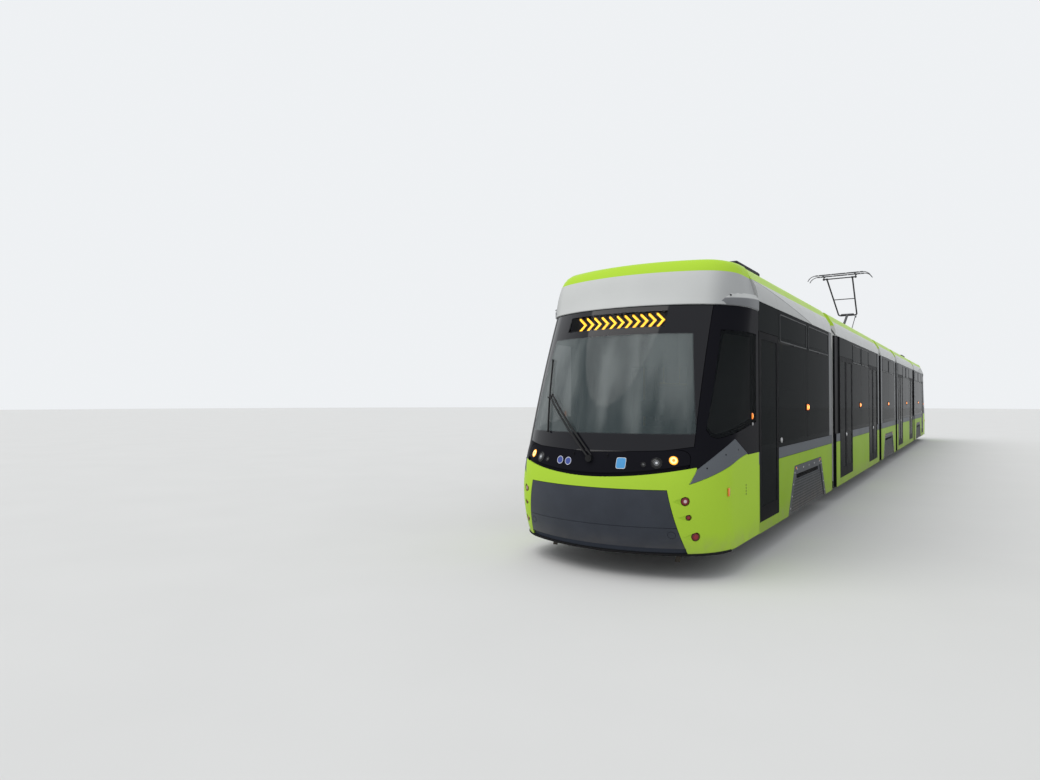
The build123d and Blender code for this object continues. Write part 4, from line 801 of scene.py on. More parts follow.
RED_RINGS = [(0.5, (0.30, 0.010, 0.018)), (1.0, (0.16, 0.006, 0.010))]
AMBER_BASE = (0.5, 0.2, 0.02)
finishes = {
    "sides": side_panels(),
    "roof": roof_skin(),
    "nose": nose_skin(),
    "windscreen": front_glass(),
    "glazing": tinted_glass(),
    "bumper": plain_paint("bumper_moulding", ANTHRACITE, 0.42, 0.35, 0.50),
    "doors": plain_paint("door_frames_black", BLACK, 0.30, 0.14, 0.5, ior=1.03),
    "underframe": floor_finish(),
    "interior": seat_cloth(),
    "wheel_covers": plain_paint("cover_grey", (0.075, 0.080, 0.090), 0.45, 0.30, 0.6, ior=1.15),
    "bogie": plain_paint("bogie_castings", (0.030, 0.030, 0.032), 0.60, 0.55, 0.9),
    "wheelset": wheel_finish(),
    "lamps": plain_paint("lamp_housings", (0.02, 0.02, 0.022), 0.20),
    "wiper": plain_paint("wiper_black", (0.010, 0.010, 0.011), 0.38),
    "pantograph": pantograph_finish(),
    "bellows": pleated_cloth(),
    "rubber": plain_paint("black_rubber", (0.014, 0.014, 0.015), 0.62, ior=1.15),
    "steel": plain_paint("brushed_steel", (0.46, 0.46, 0.47), 0.28, metallic=0.9),
    "aluminium": plain_paint("anodised_frame", (0.30, 0.31, 0.32), 0.34, metallic=0.6),
    "yellow_rail": plain_paint("handrail_yellow", (0.72, 0.52, 0.03), 0.30),
    "ceiling": plain_paint("ceiling_panels", (0.62, 0.63, 0.62), 0.50),
    "roof_grey": plain_paint("roof_fittings", (0.13, 0.135, 0.14), 0.50, grain=70.0),
    "roof_black": plain_paint("roof_unit_black", (0.022, 0.023, 0.025), 0.45, grain=70.0),
    "perforated": perforated(),
    "strip_light": lens("strip_light", [(0.7, (1.0, 0.98, 0.92)), (1.0, (0.7, 0.68, 0.64))], (0.8, 0.8, 0.8), 1.2),
    "display": display_face(),
    "marker": lens("marker_lens", [(0.4, (0.10, 0.10, 0.11)), (0.7, (0.03, 0.03, 0.03)), (1.0, (0.01, 0.01, 0.01))],
                   roughness=0.12, metallic=0.2),
    "headlamp": lens("headlamp_lens", [(0.26, (0.62, 0.64, 0.66)), (0.42, (0.035, 0.035, 0.038)),
                                       (0.56, (0.17, 0.175, 0.18)), (1.0, (0.008, 0.008, 0.009))],
                     roughness=0.10, metallic=0.2),
    "indicator": lens("indicator_lens", [(0.36, (0.55, 0.17, 0.02)), (0.74, (1.0, 0.78, 0.34)),
                                         (1.0, (1.0, 0.36, 0.02))], AMBER_BASE, 1.6),
    "rear_position": lens("rear_position_lens", [(0.42, (0.62, 0.50, 0.50)), (1.0, (0.20, 0.008, 0.015))]),
    "fog": lens("fog_lens", RED_RINGS),
    "brake": lens("brake_lens", RED_RINGS),
    "side_lamp": lens("side_lamp_lens", [(0.4, (1.0, 0.48, 0.05)), (1.0, (0.75, 0.15, 0.01))], AMBER_BASE, 1.2),
    "turn_lamp": lens("turn_lamp_lens", [(0.5, (1.0, 0.50, 0.07)), (1.0, (0.85, 0.16, 0.01))], AMBER_BASE, 2.0),
    "window_frame": plain_paint("window_frames", (0.050, 0.052, 0.056), 0.40, ior=1.15),
    "pods": pod_paint(),
    "shoulders": shoulder_skin(),
    "reflector": lens("orange_reflector", [(1.0, (0.85, 0.22, 0.01)), (1.0, (0.85, 0.22, 0.01))]),
    "blue_disc": sign_disc("blue_disc", (0.030, 0.060, 0.30), True),
    "blue_plate": sign_disc("blue_plate", (0.06, 0.32, 0.66), False),
}


def finish_of(node):
    """Finish of a carried-over part, from the last words of its name."""
    if node.startswith("pantograph"):
        return finishes["pantograph"]
    if "wheelset" in node:
        return finishes["wheelset"]
    for ending, finish in finishes.items():
        if node.endswith(ending):
            return finish
    raise KeyError(node)


for node_name, node_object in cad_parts.items():
    for material_slot in node_object.material_slots:
        material_slot.material = finish_of(node_name)


# Fittings

def dome(at, out, r, high, sink=0.003, sides=24):
    """Lens or bolt head: a low cap on a short rim, its rim sunk into what carries it."""
    a = np.linspace(0, math.pi / 2, 6)
    profile = [(r * math.sin(t), high * math.cos(t)) for t in a] + [(r, -sink), (0, -sink)]
    return revolve(profile, at, out, sides)


def bezel(at, out, r, wide, high, sink=0.003, sides=28):
    """Ring round a lens: a rounded rim outside the radius."""
    profile = [(r, -sink), (r, high * 0.7), (r + wide * 0.25, high), (r + wide * 0.75, high), (r + wide, high * 0.3),
               (r + wide, -sink), (r, -sink)]
    return revolve(profile, at, out, sides)


def fit_lamps():
    """A lens and a rim for each lamp of both ends of the tram."""
    for name, y, h, r, turn, sunk in LAMPS:
        at, normal = on_nose(y, h)
        t = math.radians(turn)
        out = np.array([math.cos(t), math.sin(t), 0.0]) if sunk else normal
        seat = at - sunk * out
        glass = dome(seat, out, r - 0.0045, 0.010 if r > 0.03 else 0.006, 0.004)
        rim = bezel(seat, out, r - 0.0045, 0.0035 if sunk else 0.009, 0.0035 if sunk else 0.006, 0.004)
        fit(f"{name}_lens", glass.both_sides(), "cab_car", name, "lamps")
        fit(f"{name}_rim", rim.both_sides(), "cab_car", "lamps", "lamps")


def fit_front():
    """Signs, display, bolts, reflectors, vents, door lamps, guard irons, edge rubber, jets and wiper sleeves."""
    discs = join([nose_patch(y, h, 0.042, 0.042, 0.0030) for y, h in ((-0.380, 1.176), (-0.266, 1.171))])
    fit("sign_discs", discs, "cab_car", "blue_disc", "lamps")
    plate = nose_patch(0.353, 1.177, 0.050, 0.056, 0.0030, 0.35)
    fit("sign_plate", plate, "cab_car", "blue_plate", "lamps")
    display = box(NOSE_TIP - 0.9305, NOSE_TIP - 0.922, -0.72, 0.66, RAIL + 2.585, RAIL + 2.900, 0.003)
    fit("destination_display", display, "cab_car", "display", "interior")
    heads = []
    for back, h in ((0.520, 1.130), (0.800, 1.255), (1.130, 1.290)):
        x = NOSE_TIP - back
        e = 0.003
        out = np.array([nose_y(x - e, h) - nose_y(x + e, h), 2 * e, 0.0])
        heads.append(dome((x, nose_y(x, h), RAIL + h), out, 0.009, 0.005))
    fit("trim_bolts", join(heads).both_sides(), "cab_car", "rubber", "nose_shell")
    mark = box(14.750, 14.794, 1.240, 1.2545, RAIL + 0.825, RAIL + 0.910, 0.004)
    fit("side_reflectors", mark.both_sides(), "cab_car", "reflector", "lamps")
    slots = join([box(14.150, 14.172, 1.2460, 1.2516, RAIL + h, RAIL + h + 0.018, 0.002)
                  for h in np.linspace(0.770, 0.870, 4)])
    fit("vent_slots", slots.both_sides(), "cab_car", "rubber", "nose_shell")
    lamp = pillow(13.896, RAIL + 1.644, 0.020, 0.036, 0.012)
    fit("door_side_lamps", lamp.both_sides(), "cab_car", "side_lamp", "lamps")
    eye = join([box(13.880, 13.912, 1.246, 1.258, RAIL + 1.535, RAIL + 1.570, 0.008),
                dome((13.896, 1.257, RAIL + 1.5525), (0, 1, 0), 0.009, 0.004)])
    fit("door_switches", eye.both_sides(), "cab_car", "steel", "lamps")
    # guard irons that hang ahead of the first wheels, and the edge rubber of the skirt
    iron = join([sweep([(14.86, 0.76, RAIL + 0.34), (14.90, 0.76, RAIL + 0.22), (14.965, 0.76, RAIL + 0.115)],
                       bar(0.055, 0.014), up=(1, 0, 0)),
                 rod((14.60, 0.76, RAIL + 0.33), (14.90, 0.76, RAIL + 0.215), 0.011)])
    fit("guard_irons", iron.both_sides(), "cab_car", "bogie", "bogie_frame")
    ys = np.linspace(-1.235, 1.235, 61)
    edge = np.stack([nose_x(ys, 0.256) - 0.012, ys, np.full(61, RAIL + 0.244)], -1)
    fit("skirt_edge", sweep(edge, bar(0.030, 0.026, 0.008)), "cab_car", "rubber", "bumper_panel")
    wash = [bent([on_nose(y, 1.235, 0.004)[0], on_nose(y, 1.252, 0.014)[0], on_nose(y, 1.266, 0.006)[0]], 0.005)
            for y in (-0.20, 0.20)]
    fit("washer_jets", join(wash), "cab_car", "rubber", "wiper_arm")
    along_arm = np.linspace(0.03, 0.93, 16)
    sleeves = []
    for dy, dh in ((0.0, 0.0), (0.026, 0.030)):
        y = WIPER_SPINDLE[0] + dy + (WIPER_MID[0] - WIPER_SPINDLE[0]) * along_arm
        h = WIPER_SPINDLE[1] + dh + (WIPER_MID[1] - WIPER_SPINDLE[1]) * along_arm
        path = np.stack([nose_x(y, h) + 0.036 + 0.011 * along_arm, y, RAIL + h], -1)
        sleeves.append(sweep(path, bar(0.018, 0.024, 0.006), up=(1, 0, 0)))
    fit("wiper_sleeves", join(sleeves), "cab_car", "wiper", "wiper_arm")


def fascia_ring(h, tip_back, half, blunt, corner_x, back=NOSE_BACK + 0.008):
    """Plan outline of the fascia at a height, from the back end on one side round the front to the other.

    Between the plan of the glass below (blunt 0) and a front arc that turns into the side by a
    quadratic curve from half-width 0.80 to the side (blunt 1)."""
    share = np.sin(np.linspace(0, math.pi / 2, 34))
    own = nose_level(h)
    below = nose_x(share * own[4], h) + own[0] - tip_back
    tip, arc, y0 = NOSE_TIP - tip_back, 2.02, 0.80
    drop = math.sqrt(arc ** 2 - y0 ** 2)
    x0, lean = tip - arc + drop, y0 / drop
    y = share * half
    t = 1 - np.sqrt(np.maximum((half - y) / (half - y0), 0.0))
    turn = (1 - t) ** 2 * x0 + 2 * t * (1 - t) * (x0 - lean * (half - y0)) + t ** 2 * (tip - corner_x)
    above = np.where(y < y0, tip - arc + np.sqrt(np.maximum(arc ** 2 - y ** 2, 0.0)), turn)
    x = (1 - blunt) * below + blunt * above
    x = np.concatenate([x, np.linspace(x[-1], back, 6)[1:]])
    right = np.stack([x, np.concatenate([y, np.full(5, half)]), np.full(len(x), RAIL + h)], -1)
    return np.concatenate([(right * (1, -1, 1))[::-1], right[1:]])


def fascia_cover():
    """Silver fascia with the lime roof edge round the front: plan outlines at rising heights, closed inside."""
    rows = ((2.893, nose_level(2.893)[0] - 0.004, 1.2530, 0.25, 0.90), FASCIA_LOW, FASCIA_MID,
            (3.120, 0.832, 1.2020, 1.0, 0.80), (3.200, 0.858, 1.1800, 1.0, 0.76), (3.278, 0.888, 1.1560, 1.0, 0.74),
            (3.340, 0.930, 1.1380, 1.0, 0.74), (3.390, 0.985, 1.1200, 1.0, 0.74), (3.425, 1.050, 1.0900, 1.0, 0.74),
            (3.444, 1.130, 1.0450, 1.0, 0.74), (3.446, 1.260, 0.970, 1.0, 0.74), (3.420, 1.260, 0.940, 1.0, 0.74),
            (3.040, 0.860, 1.180, 0.90, 0.84), (2.895, nose_level(2.895)[0] + 0.035, 1.215, 0.25, 0.90))
    return solid(np.stack([fascia_ring(*row) for row in rows], 1))


def roof_shoulder(x0, x1):
    """Rounded shoulder along one side of a roof: its section carried along the car, its back in the fairing."""
    inside = np.array([(1.000, 3.432), (1.035, 3.310), (1.225, 3.020)])
    section = np.concatenate([ROOF_LINE, inside])
    x = np.linspace(x0, x1, 9)
    rings = np.stack(np.broadcast_arrays(x[:, None], section[:, 0], RAIL + section[:, 1]), -1)
    return solid(rings).both_sides()


def brow_pod():
    """Pod beside the fascia's corner: a wedge over the glass with a sloping top, drawn in towards its tip.

    Its outer face follows the fascia's plan at 2.960, standing out of it; its top slopes back to the plan
    at 3.040."""
    x = np.array([POD_TIP, 14.430, 14.370, 14.300, 14.200, 14.060, 13.900, 13.760, NOSE_BACK])
    rings = [fascia_ring(*row, 13.60)[39:][::-1] for row in (FASCIA_LOW, FASCIA_MID)]
    low_y, high_y = (np.interp(x, ring[:, 0], ring[:, 1]) for ring in rings)
    tip = np.interp(x, (POD_KNEE, POD_TIP), (1.0, 0.0))
    bottom = np.full_like(x, FASCIA + 0.002)
    edge = np.interp(x, (NOSE_BACK, POD_KNEE, POD_TIP), (3.020, 2.975, 2.915))
    top = np.interp(x, (NOSE_BACK, POD_KNEE, POD_TIP), (3.078, 3.022, 2.925))
    out = low_y + 0.013 * tip + 0.001
    section = [(out - 0.120 * tip - 0.01, bottom), (out - 0.010 * tip, bottom), (out - 0.002, bottom + 0.008),
               (out, edge - 0.008), (out - 0.003, edge), (high_y + 0.002 * tip, top), (high_y - 0.060 * tip, top)]
    sections = np.stack([np.stack([x, y, RAIL + h], -1) for y, h in section], 1)
    return solid(sections)


def fit_roof_line():
    """Fascia, pods and rounded shoulders of the roofs."""
    fit("fascia_cover", fascia_cover(), "cab_car", "nose", "nose_shell")
    fit("brow_pods", brow_pod().both_sides(), "cab_car", "pods", "nose_shell", smooth=28)
    bolt = dome((14.320, 1.1400, RAIL + 3.0000), (0.45, 0.75, 0.45), 0.011, 0.006)
    fit("pod_bolts", bolt.both_sides(), "cab_car", "rubber", "nose_shell")
    for name, start, stop in CARS:
        fit(f"{name}_roof_shoulders", roof_shoulder(start, stop), f"{name}_car", "shoulders", "roof_panels")


def fit_cab():
    """Inside of the driver's cab: console and levers on the desk, headrest of the seat."""
    floor, desk_z = RAIL + FLOOR, RAIL + FLOOR + 0.780
    wedge = join([box(14.72, 14.98, -0.55, 0.55, desk_z, desk_z + 0.035, 0.010),
                  box(14.80, 14.99, -0.26, 0.26, desk_z + 0.030, desk_z + 0.110, 0.020)])
    fit("desk_console", wedge, "cab_car", "rubber", "interior")
    lever = join([rod((14.76, 0.40, desk_z + 0.03), (14.74, 0.40, desk_z + 0.13), 0.009),
                  dome((14.74, 0.40, desk_z + 0.125), (0, 0, 1), 0.022, 0.018)])
    fit("desk_levers", lever.both_sides(), "cab_car", "steel", "interior")
    rest = join([box(13.84, 13.905, -0.16, 0.16, floor + 1.270, floor + 1.480, 0.030),
                 rod((13.875, 0.07, floor + 1.10), (13.875, 0.07, floor + 1.30), 0.008).both_sides()])
    fit("driver_headrest", rest, "cab_car", "interior", "interior")


def fit_ceiling(name, x0, x1):
    """Ceiling panel with two strip lights, over one car."""
    z = RAIL + HEADER + 0.165
    panel = box(x0 + 0.07, x1 - 0.07, -1.10, 1.10, z, z + 0.012, 0.004)
    fit(f"{name}_ceiling", panel, f"{name}_car", "ceiling", "interior")
    light = box(x0 + 0.25, x1 - 0.25, 0.57, 0.67, z - 0.016, z + 0.002, 0.006)
    fit(f"{name}_strip_lights", light.both_sides(), f"{name}_car", "strip_light", "interior")


def fit_rails(name, x0, x1, posts):
    """Grab rails along the ceiling on hangers, and upright grab poles from the floor."""
    high, top = RAIL + 2.08, RAIL + HEADER + 0.164
    parts = [rod((x0 + 0.30, 0.55, high), (x1 - 0.30, 0.55, high), 0.017)]
    parts += [rod((x, 0.55, high), (x, 0.55, top), 0.012) for x in np.linspace(x0 + 0.45, x1 - 0.45, 5)]
    parts += [rod((x, 0.66, RAIL + FLOOR), (x, 0.66, top), 0.017) for x in posts]
    fit(f"{name}_grab_rails", join(parts).both_sides(), f"{name}_car", "yellow_rail", "interior")


def window_frame(x0, x1):
    """Tilting top light of one window: a rounded slim frame on the glass, its catch below."""
    z0, z1 = RAIL + 2.600, RAIL + 2.955
    ring = frame_ring(x0 + 0.075, x1 - 0.075, z0, z1, 0.045, 0.016, 1.2470, 1.2560)
    catch = box((x0 + x1) / 2 - 0.030, (x0 + x1) / 2 + 0.030, 1.246, 1.259, z0 - 0.020, z0 + 0.004, 0.004)
    return join([ring, catch]).both_sides()


def fit_windows():
    """Tilting top lights on every tall pane, two panes beside a post on each car."""
    pane = (CAB_DOOR - CAB_DOOR_W / 2 - CAB_START - END_POST) / 2
    pairs = (("cab", CAB_START + END_POST + pane, pane),
             ("mid", MID_CENTRE, MID_DOORS[1] - DOUBLE_W / 2 - MID_CENTRE),
             ("centre", 0.0, CENTRE_END - END_POST))
    for name, post, wide in pairs:
        lights = join([window_frame(post - wide, post), window_frame(post, post + wide)])
        fit(f"{name}_top_lights", lights, f"{name}_car", "window_frame", "tinted_glass")


def pillow(x, z, half_x, half_z, high=0.014):
    """Crowned lens on the side: rings of a rounded oblong from its centre to its rim, its rim sunk in."""
    turn = np.linspace(0, 2 * math.pi, 24, endpoint=False)
    cx = np.sign(np.cos(turn)) * np.abs(np.cos(turn)) ** 0.45
    cz = np.sign(np.sin(turn)) * np.abs(np.sin(turn)) ** 0.45
    reach = np.array([0.0, 0.30, 0.55, 0.78, 0.92, 1.0, 1.0, 0.0])[:, None]
    level = np.concatenate([high * (1 - reach[:6, 0] ** 3), [-0.004, -0.004]])[:, None]
    points = np.stack(np.broadcast_arrays(x + half_x * reach * cx, HALF + level, z + half_z * reach * cz), -1)
    share = np.stack(np.broadcast_arrays(reach, turn / (2 * math.pi)), -1)
    return grid(points, close_v=True, share=share)


def turn_lamp(x):
    """Double amber lamp on the side glass: two lenses in one dark frame."""
    z = RAIL + 1.72
    lenses = join([pillow(x + aside, z, 0.045, 0.042) for aside in (-0.049, 0.049)])
    frame_part = frame_ring(x - 0.106, x + 0.106, z - 0.053, z + 0.053, 0.018, 0.010, 1.248, 1.260)
    return lenses.both_sides(), frame_part.both_sides()


def fit_side_lamps():
    """Turn lamps along the sides."""
    for name, x in (("cab", 10.90), ("mid", 5.51), ("centre", 0.11)):
        lenses, rims = turn_lamp(x)
        fit(f"{name}_turn_lamps", lenses, f"{name}_car", "turn_lamp", "lamps")
        fit(f"{name}_turn_lamp_rims", rims, f"{name}_car", "rubber", "lamps")


def door_fittings(x0, x1, seam=None):
    """Rubber edges and push button of one doorway."""
    z0, z1 = RAIL + SILL + 0.02, RAIL + HEADER - 0.02
    rubber = [box(x - 0.011, x + 0.011, 1.232, 1.2525, z0, z1, 0.006)
              for x in ([x0 + 0.012, x1 - 0.012] + ([seam] if seam else []))]
    place, height = (seam + 0.045, 1.16) if seam else (x0 - 0.130, 1.30)
    button = [revolve([(0, 0.014), (0.020, 0.014), (0.026, 0.010), (0.034, 0.010), (0.036, 0.002), (0.036, -0.002),
                       (0, -0.002)], (place, HALF, RAIL + height), (0, 1, 0))]
    return join(rubber).both_sides(), join(button).both_sides()


def sill(centre, half):
    """Metal strip on the threshold of a doorway."""
    return box(centre - half, centre + half, 1.180, 1.246, RAIL + SILL + 0.001, RAIL + SILL + 0.0045, 0.001)


def fit_doors():
    """Rubbers, buttons, sills and inside handrails of all doors."""
    doorways = {"cab": [door_fittings(CAB_DOOR - CAB_DOOR_W / 2, CAB_DOOR + CAB_DOOR_W / 2)],
                "mid": [door_fittings(c - DOUBLE_W / 2, c + DOUBLE_W / 2, c) for c in MID_DOORS]}
    for name, fittings in doorways.items():
        rubbers, buttons = (join(shapes) for shapes in zip(*fittings))
        fit(f"{name}_door_rubbers", rubbers, f"{name}_car", "rubber", "door_frames")
        fit(f"{name}_door_buttons", buttons, f"{name}_car", "steel", "door_frames")
    inside = []
    for c in MID_DOORS:
        for x in (c - 0.42, c + 0.42):
            inside.append(bent([(x, 1.202, RAIL + 0.80), (x, 1.165, RAIL + 0.86), (x, 1.165, RAIL + 1.55),
                                (x, 1.202, RAIL + 1.61)], 0.012, (1, 0, 0)))
    fit("mid_door_handles", join(inside).both_sides(), "mid_car", "yellow_rail", "door_frames")
    sills = join([sill(c, DOUBLE_W / 2 - 0.035) for c in MID_DOORS])
    fit("mid_door_sills", sills.both_sides(), "mid_car", "aluminium", "door_frames")
    fit("cab_door_treads", sill(CAB_DOOR, 0.42).both_sides(), "cab_car", "aluminium", "door_frames")


def cover_fittings(x):
    """Perforated sheet, louvres in the slot, bolts and corner reflectors of a wheel cover."""
    z0, z1 = RAIL + SKIRT, RAIL + COVER_TOP
    slot = z1 - 0.120
    slope = (COVER_FOOT - COVER_HEAD) / 2 / (COVER_TOP - SKIRT)

    def half_at(z, inset):
        return COVER_FOOT / 2 - slope * (z - z0) - inset * math.hypot(1, slope)

    rows = np.linspace(z0 + 0.030, slot - 0.090, 3)
    front = [[(x - half_at(z, 0.140), 1.2405, z), (x + half_at(z, 0.140), 1.2405, z)] for z in rows]
    ring = np.array([front[0][0], front[0][1], front[1][1], front[2][1], front[2][0], front[1][0]])
    sheet = solid([ring, ring - (0, 0.007, 0)])
    louvres = join([box(x - 0.755, x + 0.755, 1.212, 1.230, slot - 0.075 + rise, slot - 0.068 + rise, 0.002)
                    for rise in (0.0, 0.020, 0.040)])
    bolts = []
    for s in (-1, 1):
        for z in np.linspace(z0 + 0.09, z1 - 0.10, 4):
            bolts.append(dome((x + s * half_at(z, 0.060), HALF, z), (0, 1, 0), 0.013, 0.007, sides=12))
    for px in np.linspace(-0.78, 0.78, 5):
        bolts.append(dome((x + px, HALF, z1 - 0.060), (0, 1, 0), 0.013, 0.007, sides=12))
    marks = [box(x + s * 0.845 - 0.022, x + s * 0.845 + 0.022, 1.244, 1.256, z1 - 0.055, z1 - 0.020, 0.005)
             for s in (-1, 1)]
    return [shape.both_sides() for shape in (sheet, louvres, join(bolts), join(marks))]


def fit_covers():
    """Details of the three pairs of wheel covers."""
    kinds = (("sheet", "perforated"), ("louvres", "rubber"), ("bolts", "steel"), ("reflectors", "reflector"))
    for (name, finish), end_part, middle in zip(kinds, cover_fittings(CAB_BOGIE), cover_fittings(0.0)):
        fit(f"cover_{name}", end_part, "cab_car", finish, "wheel_covers")
        fit(f"centre_cover_{name}", middle, "centre_car", finish, "wheel_covers")


def arch(half, foot, top, corner):
    """Outline of the gangway arch in the end view, from one foot over the top to the other."""
    turn = np.linspace(0, math.pi / 2, 12)
    right = np.stack([half - corner + corner * np.cos(turn), top - corner + corner * np.sin(turn)], -1)
    side = np.stack([np.full(10, half), np.linspace(foot, top - corner, 10)], -1)[:-1]
    roof = np.stack([np.linspace(half - corner, 0, 8), np.full(8, top)], -1)[1:]
    one = np.concatenate([side, right, roof])
    return np.concatenate([one, (one * (-1, 1))[::-1][1:]])


def pleated_arch(x0, x1, pleats=15, depth=0.032, half=1.150, foot=RAIL + 0.300, top=RAIL + 2.960):
    """Bellows: the arch carried from one car to the other while it breathes in and out with each pleat.

    The outer skin is the arch less depth times a rounded triangle wave; the inner skin lies 14 mm
    inside, and both meet at the feet."""
    line = arch(half, foot, top, 0.22)
    ahead = along(line)
    inwards = np.stack([-ahead[:, 1], ahead[:, 0]], -1)
    t = np.linspace(0, 1, pleats * 6 + 1)
    wave = (0.5 - 0.5 * np.cos(2 * math.pi * pleats * t)) ** 0.8
    thick = np.full(len(line), 0.014)
    thick[[0, -1]] = 0.0
    skins = []
    for extra in (0.0, 1.0):
        sink = depth * wave[None, :] + extra * thick[:, None]
        y, z = (line[:, None, k] + inwards[:, None, k] * sink for k in (0, 1))
        skins.append(np.stack([np.broadcast_to(x0 + (x1 - x0) * t, y.shape), y, z], -1))
    return grid(np.concatenate([skins[0], skins[1][:, ::-1]], 1), close_v=True)


def fit_gangways():
    """Pleated bellows across the joints, and their clamping frames."""
    line = arch(1.158, RAIL + 0.300, RAIL + 2.968, 0.225)
    for name, x, near, far in HINGES:
        x0, x1 = x - GANGWAY / 2, x + GANGWAY / 2
        cloth = pleated_arch(x0 + 0.004, x1 - 0.004)
        for end, pleats in across(f"{name}_pleats", cloth, x, near, far, "bellows", "bellows_rubber", 1.5).items():
            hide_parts(f"{end}_{name}_bellows")
        for place, at, car in (("near", x0 + 0.013, near), ("far", x1 - 0.013, far)):
            path = np.stack([np.full(len(line), at), line[:, 0], line[:, 1]], -1)
            clamp = sweep(path, bar(0.034, 0.024, 0.004), up=(1, 0, 0))
            for end, body, own, _ in at_ends(car, clamp):
                piece(f"{end}_{name}_clamp_{place}", own, body, "rubber", "bellows_rubber")


def fit_roof():
    """Grilles over the fans, louvres, catches of the lids, cable ducts, aerials and jumper hoses."""
    low, high = UNIT_TOP + 0.004, UNIT_TOP + 0.010
    grilles = []
    for x in FANS:
        grilles += [revolve([(r, 0.000), (r + 0.007, 0.006), (r + 0.014, 0.000), (r + 0.007, -0.006), (r, 0.000)],
                            (x, 0, high), (0, 0, 1), 36) for r in (0.055, 0.105, 0.155, 0.205, 0.245)]
        for a in np.radians((0, 60, 120)):
            dx, dy = 0.262 * math.cos(a), 0.262 * math.sin(a)
            grilles.append(rod((x - dx, -dy, low), (x + dx, dy, low), 0.006))
    fit("fan_grilles", join(grilles), "cab_car", "roof_grey", "roof_panels")
    louvres = [box(11.40 + i * 0.30, 11.60 + i * 0.30, 0.646, 0.664, RAIL + h, RAIL + h + 0.018, 0.004)
               for i in range(3) for h in np.linspace(3.35, 3.65, 8)]
    fit("unit_louvres", join(louvres).both_sides(), "cab_car", "roof_grey", "roof_panels")
    lids = (("cab", 9.49, 11.09, 0.75, RAIL + 3.400), ("mid", 4.06, 6.66, 0.80, RAIL + 3.420),
            ("centre", -1.65, -0.90, 0.70, RAIL + 3.400))
    for name, x0, x1, half, top in lids:
        parts = []
        for x in np.linspace(x0 + 0.16, x1 - 0.16, 4 if x1 - x0 > 1 else 2):
            parts.append(box(x - 0.035, x + 0.035, half - 0.006, half + 0.018, top - 0.090, top - 0.030, 0.006))
            parts.append(rod((x - 0.045, half + 0.014, top - 0.060), (x + 0.045, half + 0.014, top - 0.060), 0.009))
        fit(f"{name}_lid_catches", join(parts).both_sides(), f"{name}_car", "steel", "roof_panels")
    for name, x0, x1 in (("cab", 9.30, 13.40), ("mid", 2.66, 8.05)):
        duct = [box(x0, x1, 0.855, 0.945, DECK - 0.004, DECK + 0.055, 0.008)]
        duct += [box(x, x + 0.05, 0.848, 0.952, DECK - 0.004, DECK + 0.062, 0.004)
                 for x in np.arange(x0 + 0.3, x1 - 0.2, 0.75)]
        fit(f"{name}_cable_ducts", join(duct).both_sides(), f"{name}_car", "roof_grey", "roof_panels")
    mast = [revolve([(0, 0.110), (0.010, 0.108), (0.018, 0.070), (0.034, 0.020), (0.052, 0.004), (0.055, -0.004),
                     (0, -0.004)], (12.85, 0.35, DECK), (0, 0, 1), 20),
            revolve([(0, 0.040), (0.040, 0.036), (0.060, 0.020), (0.062, -0.004), (0, -0.004)],
                    (12.85, -0.35, DECK), (0, 0, 1), 20)]
    fit("roof_aerials", join(mast), "cab_car", "roof_black", "roof_panels")
    z = DECK + 0.045
    for name, x, near, far in HINGES:
        x0, x1 = x - GANGWAY / 2, x + GANGWAY / 2
        hoses = []
        for y in (-0.72, -0.66, -0.60, 0.60, 0.66):
            line = [(x0 - 0.30, y, z - 0.02), (x0 - 0.12, y, z + 0.03), (x, y, z + 0.10),
                    (x1 + 0.12, y, z + 0.03), (x1 + 0.30, y, z - 0.02)]
            hoses.append(bent(line, 0.018))
            hoses += [dome(line[i], (way, 0, 0), 0.024, 0.010, 0.020, 12) for i, way in ((0, -1), (-1, 1))]
        across(f"{name}_roof_hoses", join(hoses), x, near, far, "rubber", "roof_panels", 3.1)


def fit_pantograph():
    """Raising spring and strip clamps of the pantograph."""
    z = RAIL + 3.555
    spring = coil((-0.44, -0.10, z + 0.02), (0.02, -0.10, z + 0.06), 0.028, 0.007, 13)
    piece("pantograph_spring", spring, "centre_car", "steel", "pantograph_steel")
    clamps = [box(0.10 + dx - 0.024, 0.10 + dx + 0.024, y - 0.016, y + 0.016, RAIL + 5.528, RAIL + 5.5595, 0.003)
              for dx in (-0.150, 0.150) for y in (-0.55, -0.20, 0.20, 0.55)]
    piece("strip_clamps", join(clamps), "pantograph_bow", "steel", "pantograph_steel")


def coil(a, b, r, wire, turns):
    """Spring: a helix carried round the line from a to b, a small circle along it."""
    t = np.linspace(0, 1, turns * 14 + 1)
    a, b = np.asarray(a, float), np.asarray(b, float)
    ahead = (b - a) / np.linalg.norm(b - a)
    side = np.cross(ahead, (0, 0, 1))
    side /= np.linalg.norm(side)
    high = np.cross(side, ahead)
    turn = 2 * math.pi * turns * t[:, None]
    path = a + (b - a) * t[:, None] + r * (np.cos(turn) * side + np.sin(turn) * high)
    return sweep(path, circle(wire, 6), up=tuple(ahead))


fit_lamps()
fit_front()
fit_cab()
fit_roof_line()
for car_part in CARS:
    fit_ceiling(*car_part)
fit_rails("cab", 9.10, 12.60, [12.62])
fit_rails("mid", 2.40, 8.30, [2.56, 4.22, 6.50, 8.14])
fit_rails("centre", -1.60, 1.60, [])
fit_windows()
fit_side_lamps()
fit_doors()
fit_covers()
fit_gangways()
fit_roof()
fit_pantograph()


# Studio

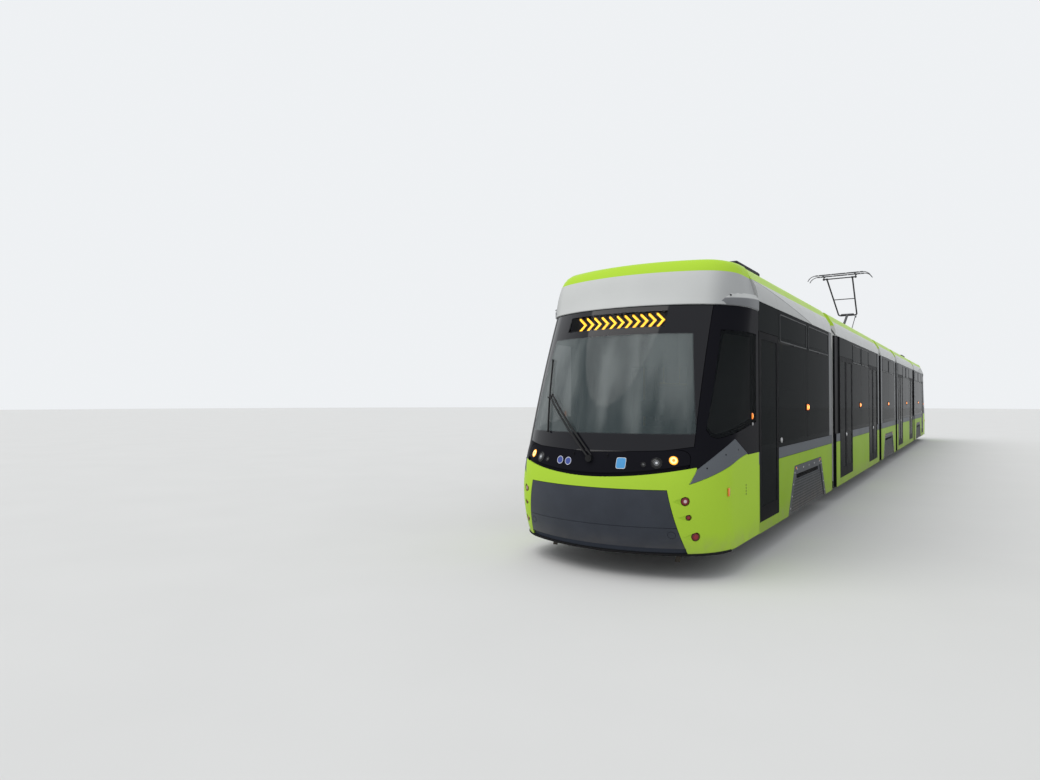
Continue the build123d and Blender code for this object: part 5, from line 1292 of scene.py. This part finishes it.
def studio():
    """Pale floor, soft light from above and the photograph's camera."""
    ring = np.linspace(0, 2 * math.pi, 96, endpoint=False)
    reach = np.array([0.0, 20.0, 60.0, 150.0])[:, None]
    disc = grid(np.stack([reach * np.cos(ring), reach * np.sin(ring), np.zeros((4, 96))], -1), close_v=True)
    data = bpy.data.meshes.new("studio_floor")
    data.from_pydata(disc.points, [], disc.faces.tolist())
    close_up(data)
    f = Finish("studio_floor", roughness=0.9)
    f.set("Base Color", f.mix(f.noise(0.6), (0.62, 0.62, 0.61), (0.66, 0.66, 0.65)))
    data.materials.append(f.material)
    stand_in_scene("studio_floor", data)

    world = bpy.data.worlds.new("studio_world")
    bpy.context.scene.world = world
    world.use_nodes = True
    tree = world.node_tree
    tree.nodes.clear()
    out, lit, seen, path, either, direct, pick = (tree.nodes.new("ShaderNode" + kind) for kind in (
        "OutputWorld", "Background", "Background", "LightPath", "Math", "Math", "MixShader"))
    either.operation = direct.operation = "MAXIMUM"
    lit.inputs["Color"].default_value = (0.93, 0.96, 1.0, 1)
    lit.inputs["Strength"].default_value = 0.75
    seen.inputs["Color"].default_value = (0.86, 0.88, 0.90, 1)
    ray = path.outputs
    for source, socket in ((ray["Is Camera Ray"], either.inputs[0]), (ray["Is Glossy Ray"], either.inputs[1]),
                           (either.outputs[0], direct.inputs[0]), (ray["Is Transmission Ray"], direct.inputs[1]),
                           (direct.outputs[0], pick.inputs[0]), (lit.outputs[0], pick.inputs[1]),
                           (seen.outputs[0], pick.inputs[2]), (pick.outputs[0], out.inputs[0])):
        tree.links.new(source, socket)

    sun = bpy.data.lights.new("soft_sun", "SUN")
    sun.energy, sun.angle, sun.color = 1.5, math.radians(55), (1.0, 0.98, 0.95)
    towards = Vector((-0.45, 0.35, -1.0))
    stand_in_scene("soft_sun", sun).rotation_euler = towards.to_track_quat("-Z", "Y").to_euler()

    camera = bpy.data.cameras.new("photo_camera")
    camera.sensor_width, camera.lens, camera.clip_end = 36.0, CAMERA_LENS, 400.0
    camera_object = stand_in_scene("photo_camera", camera)
    camera_object.location = CAMERA_PLACE
    heading, pitch = math.radians(CAMERA_HEADING), math.radians(CAMERA_PITCH)
    look = Vector((-math.cos(heading) * math.cos(pitch), -math.sin(heading) * math.cos(pitch), math.sin(pitch)))
    camera_object.rotation_euler = look.to_track_quat("-Z", "Y").to_euler()
    bpy.context.scene.camera = camera_object
    bpy.context.scene.view_settings.view_transform = "Standard"


studio()
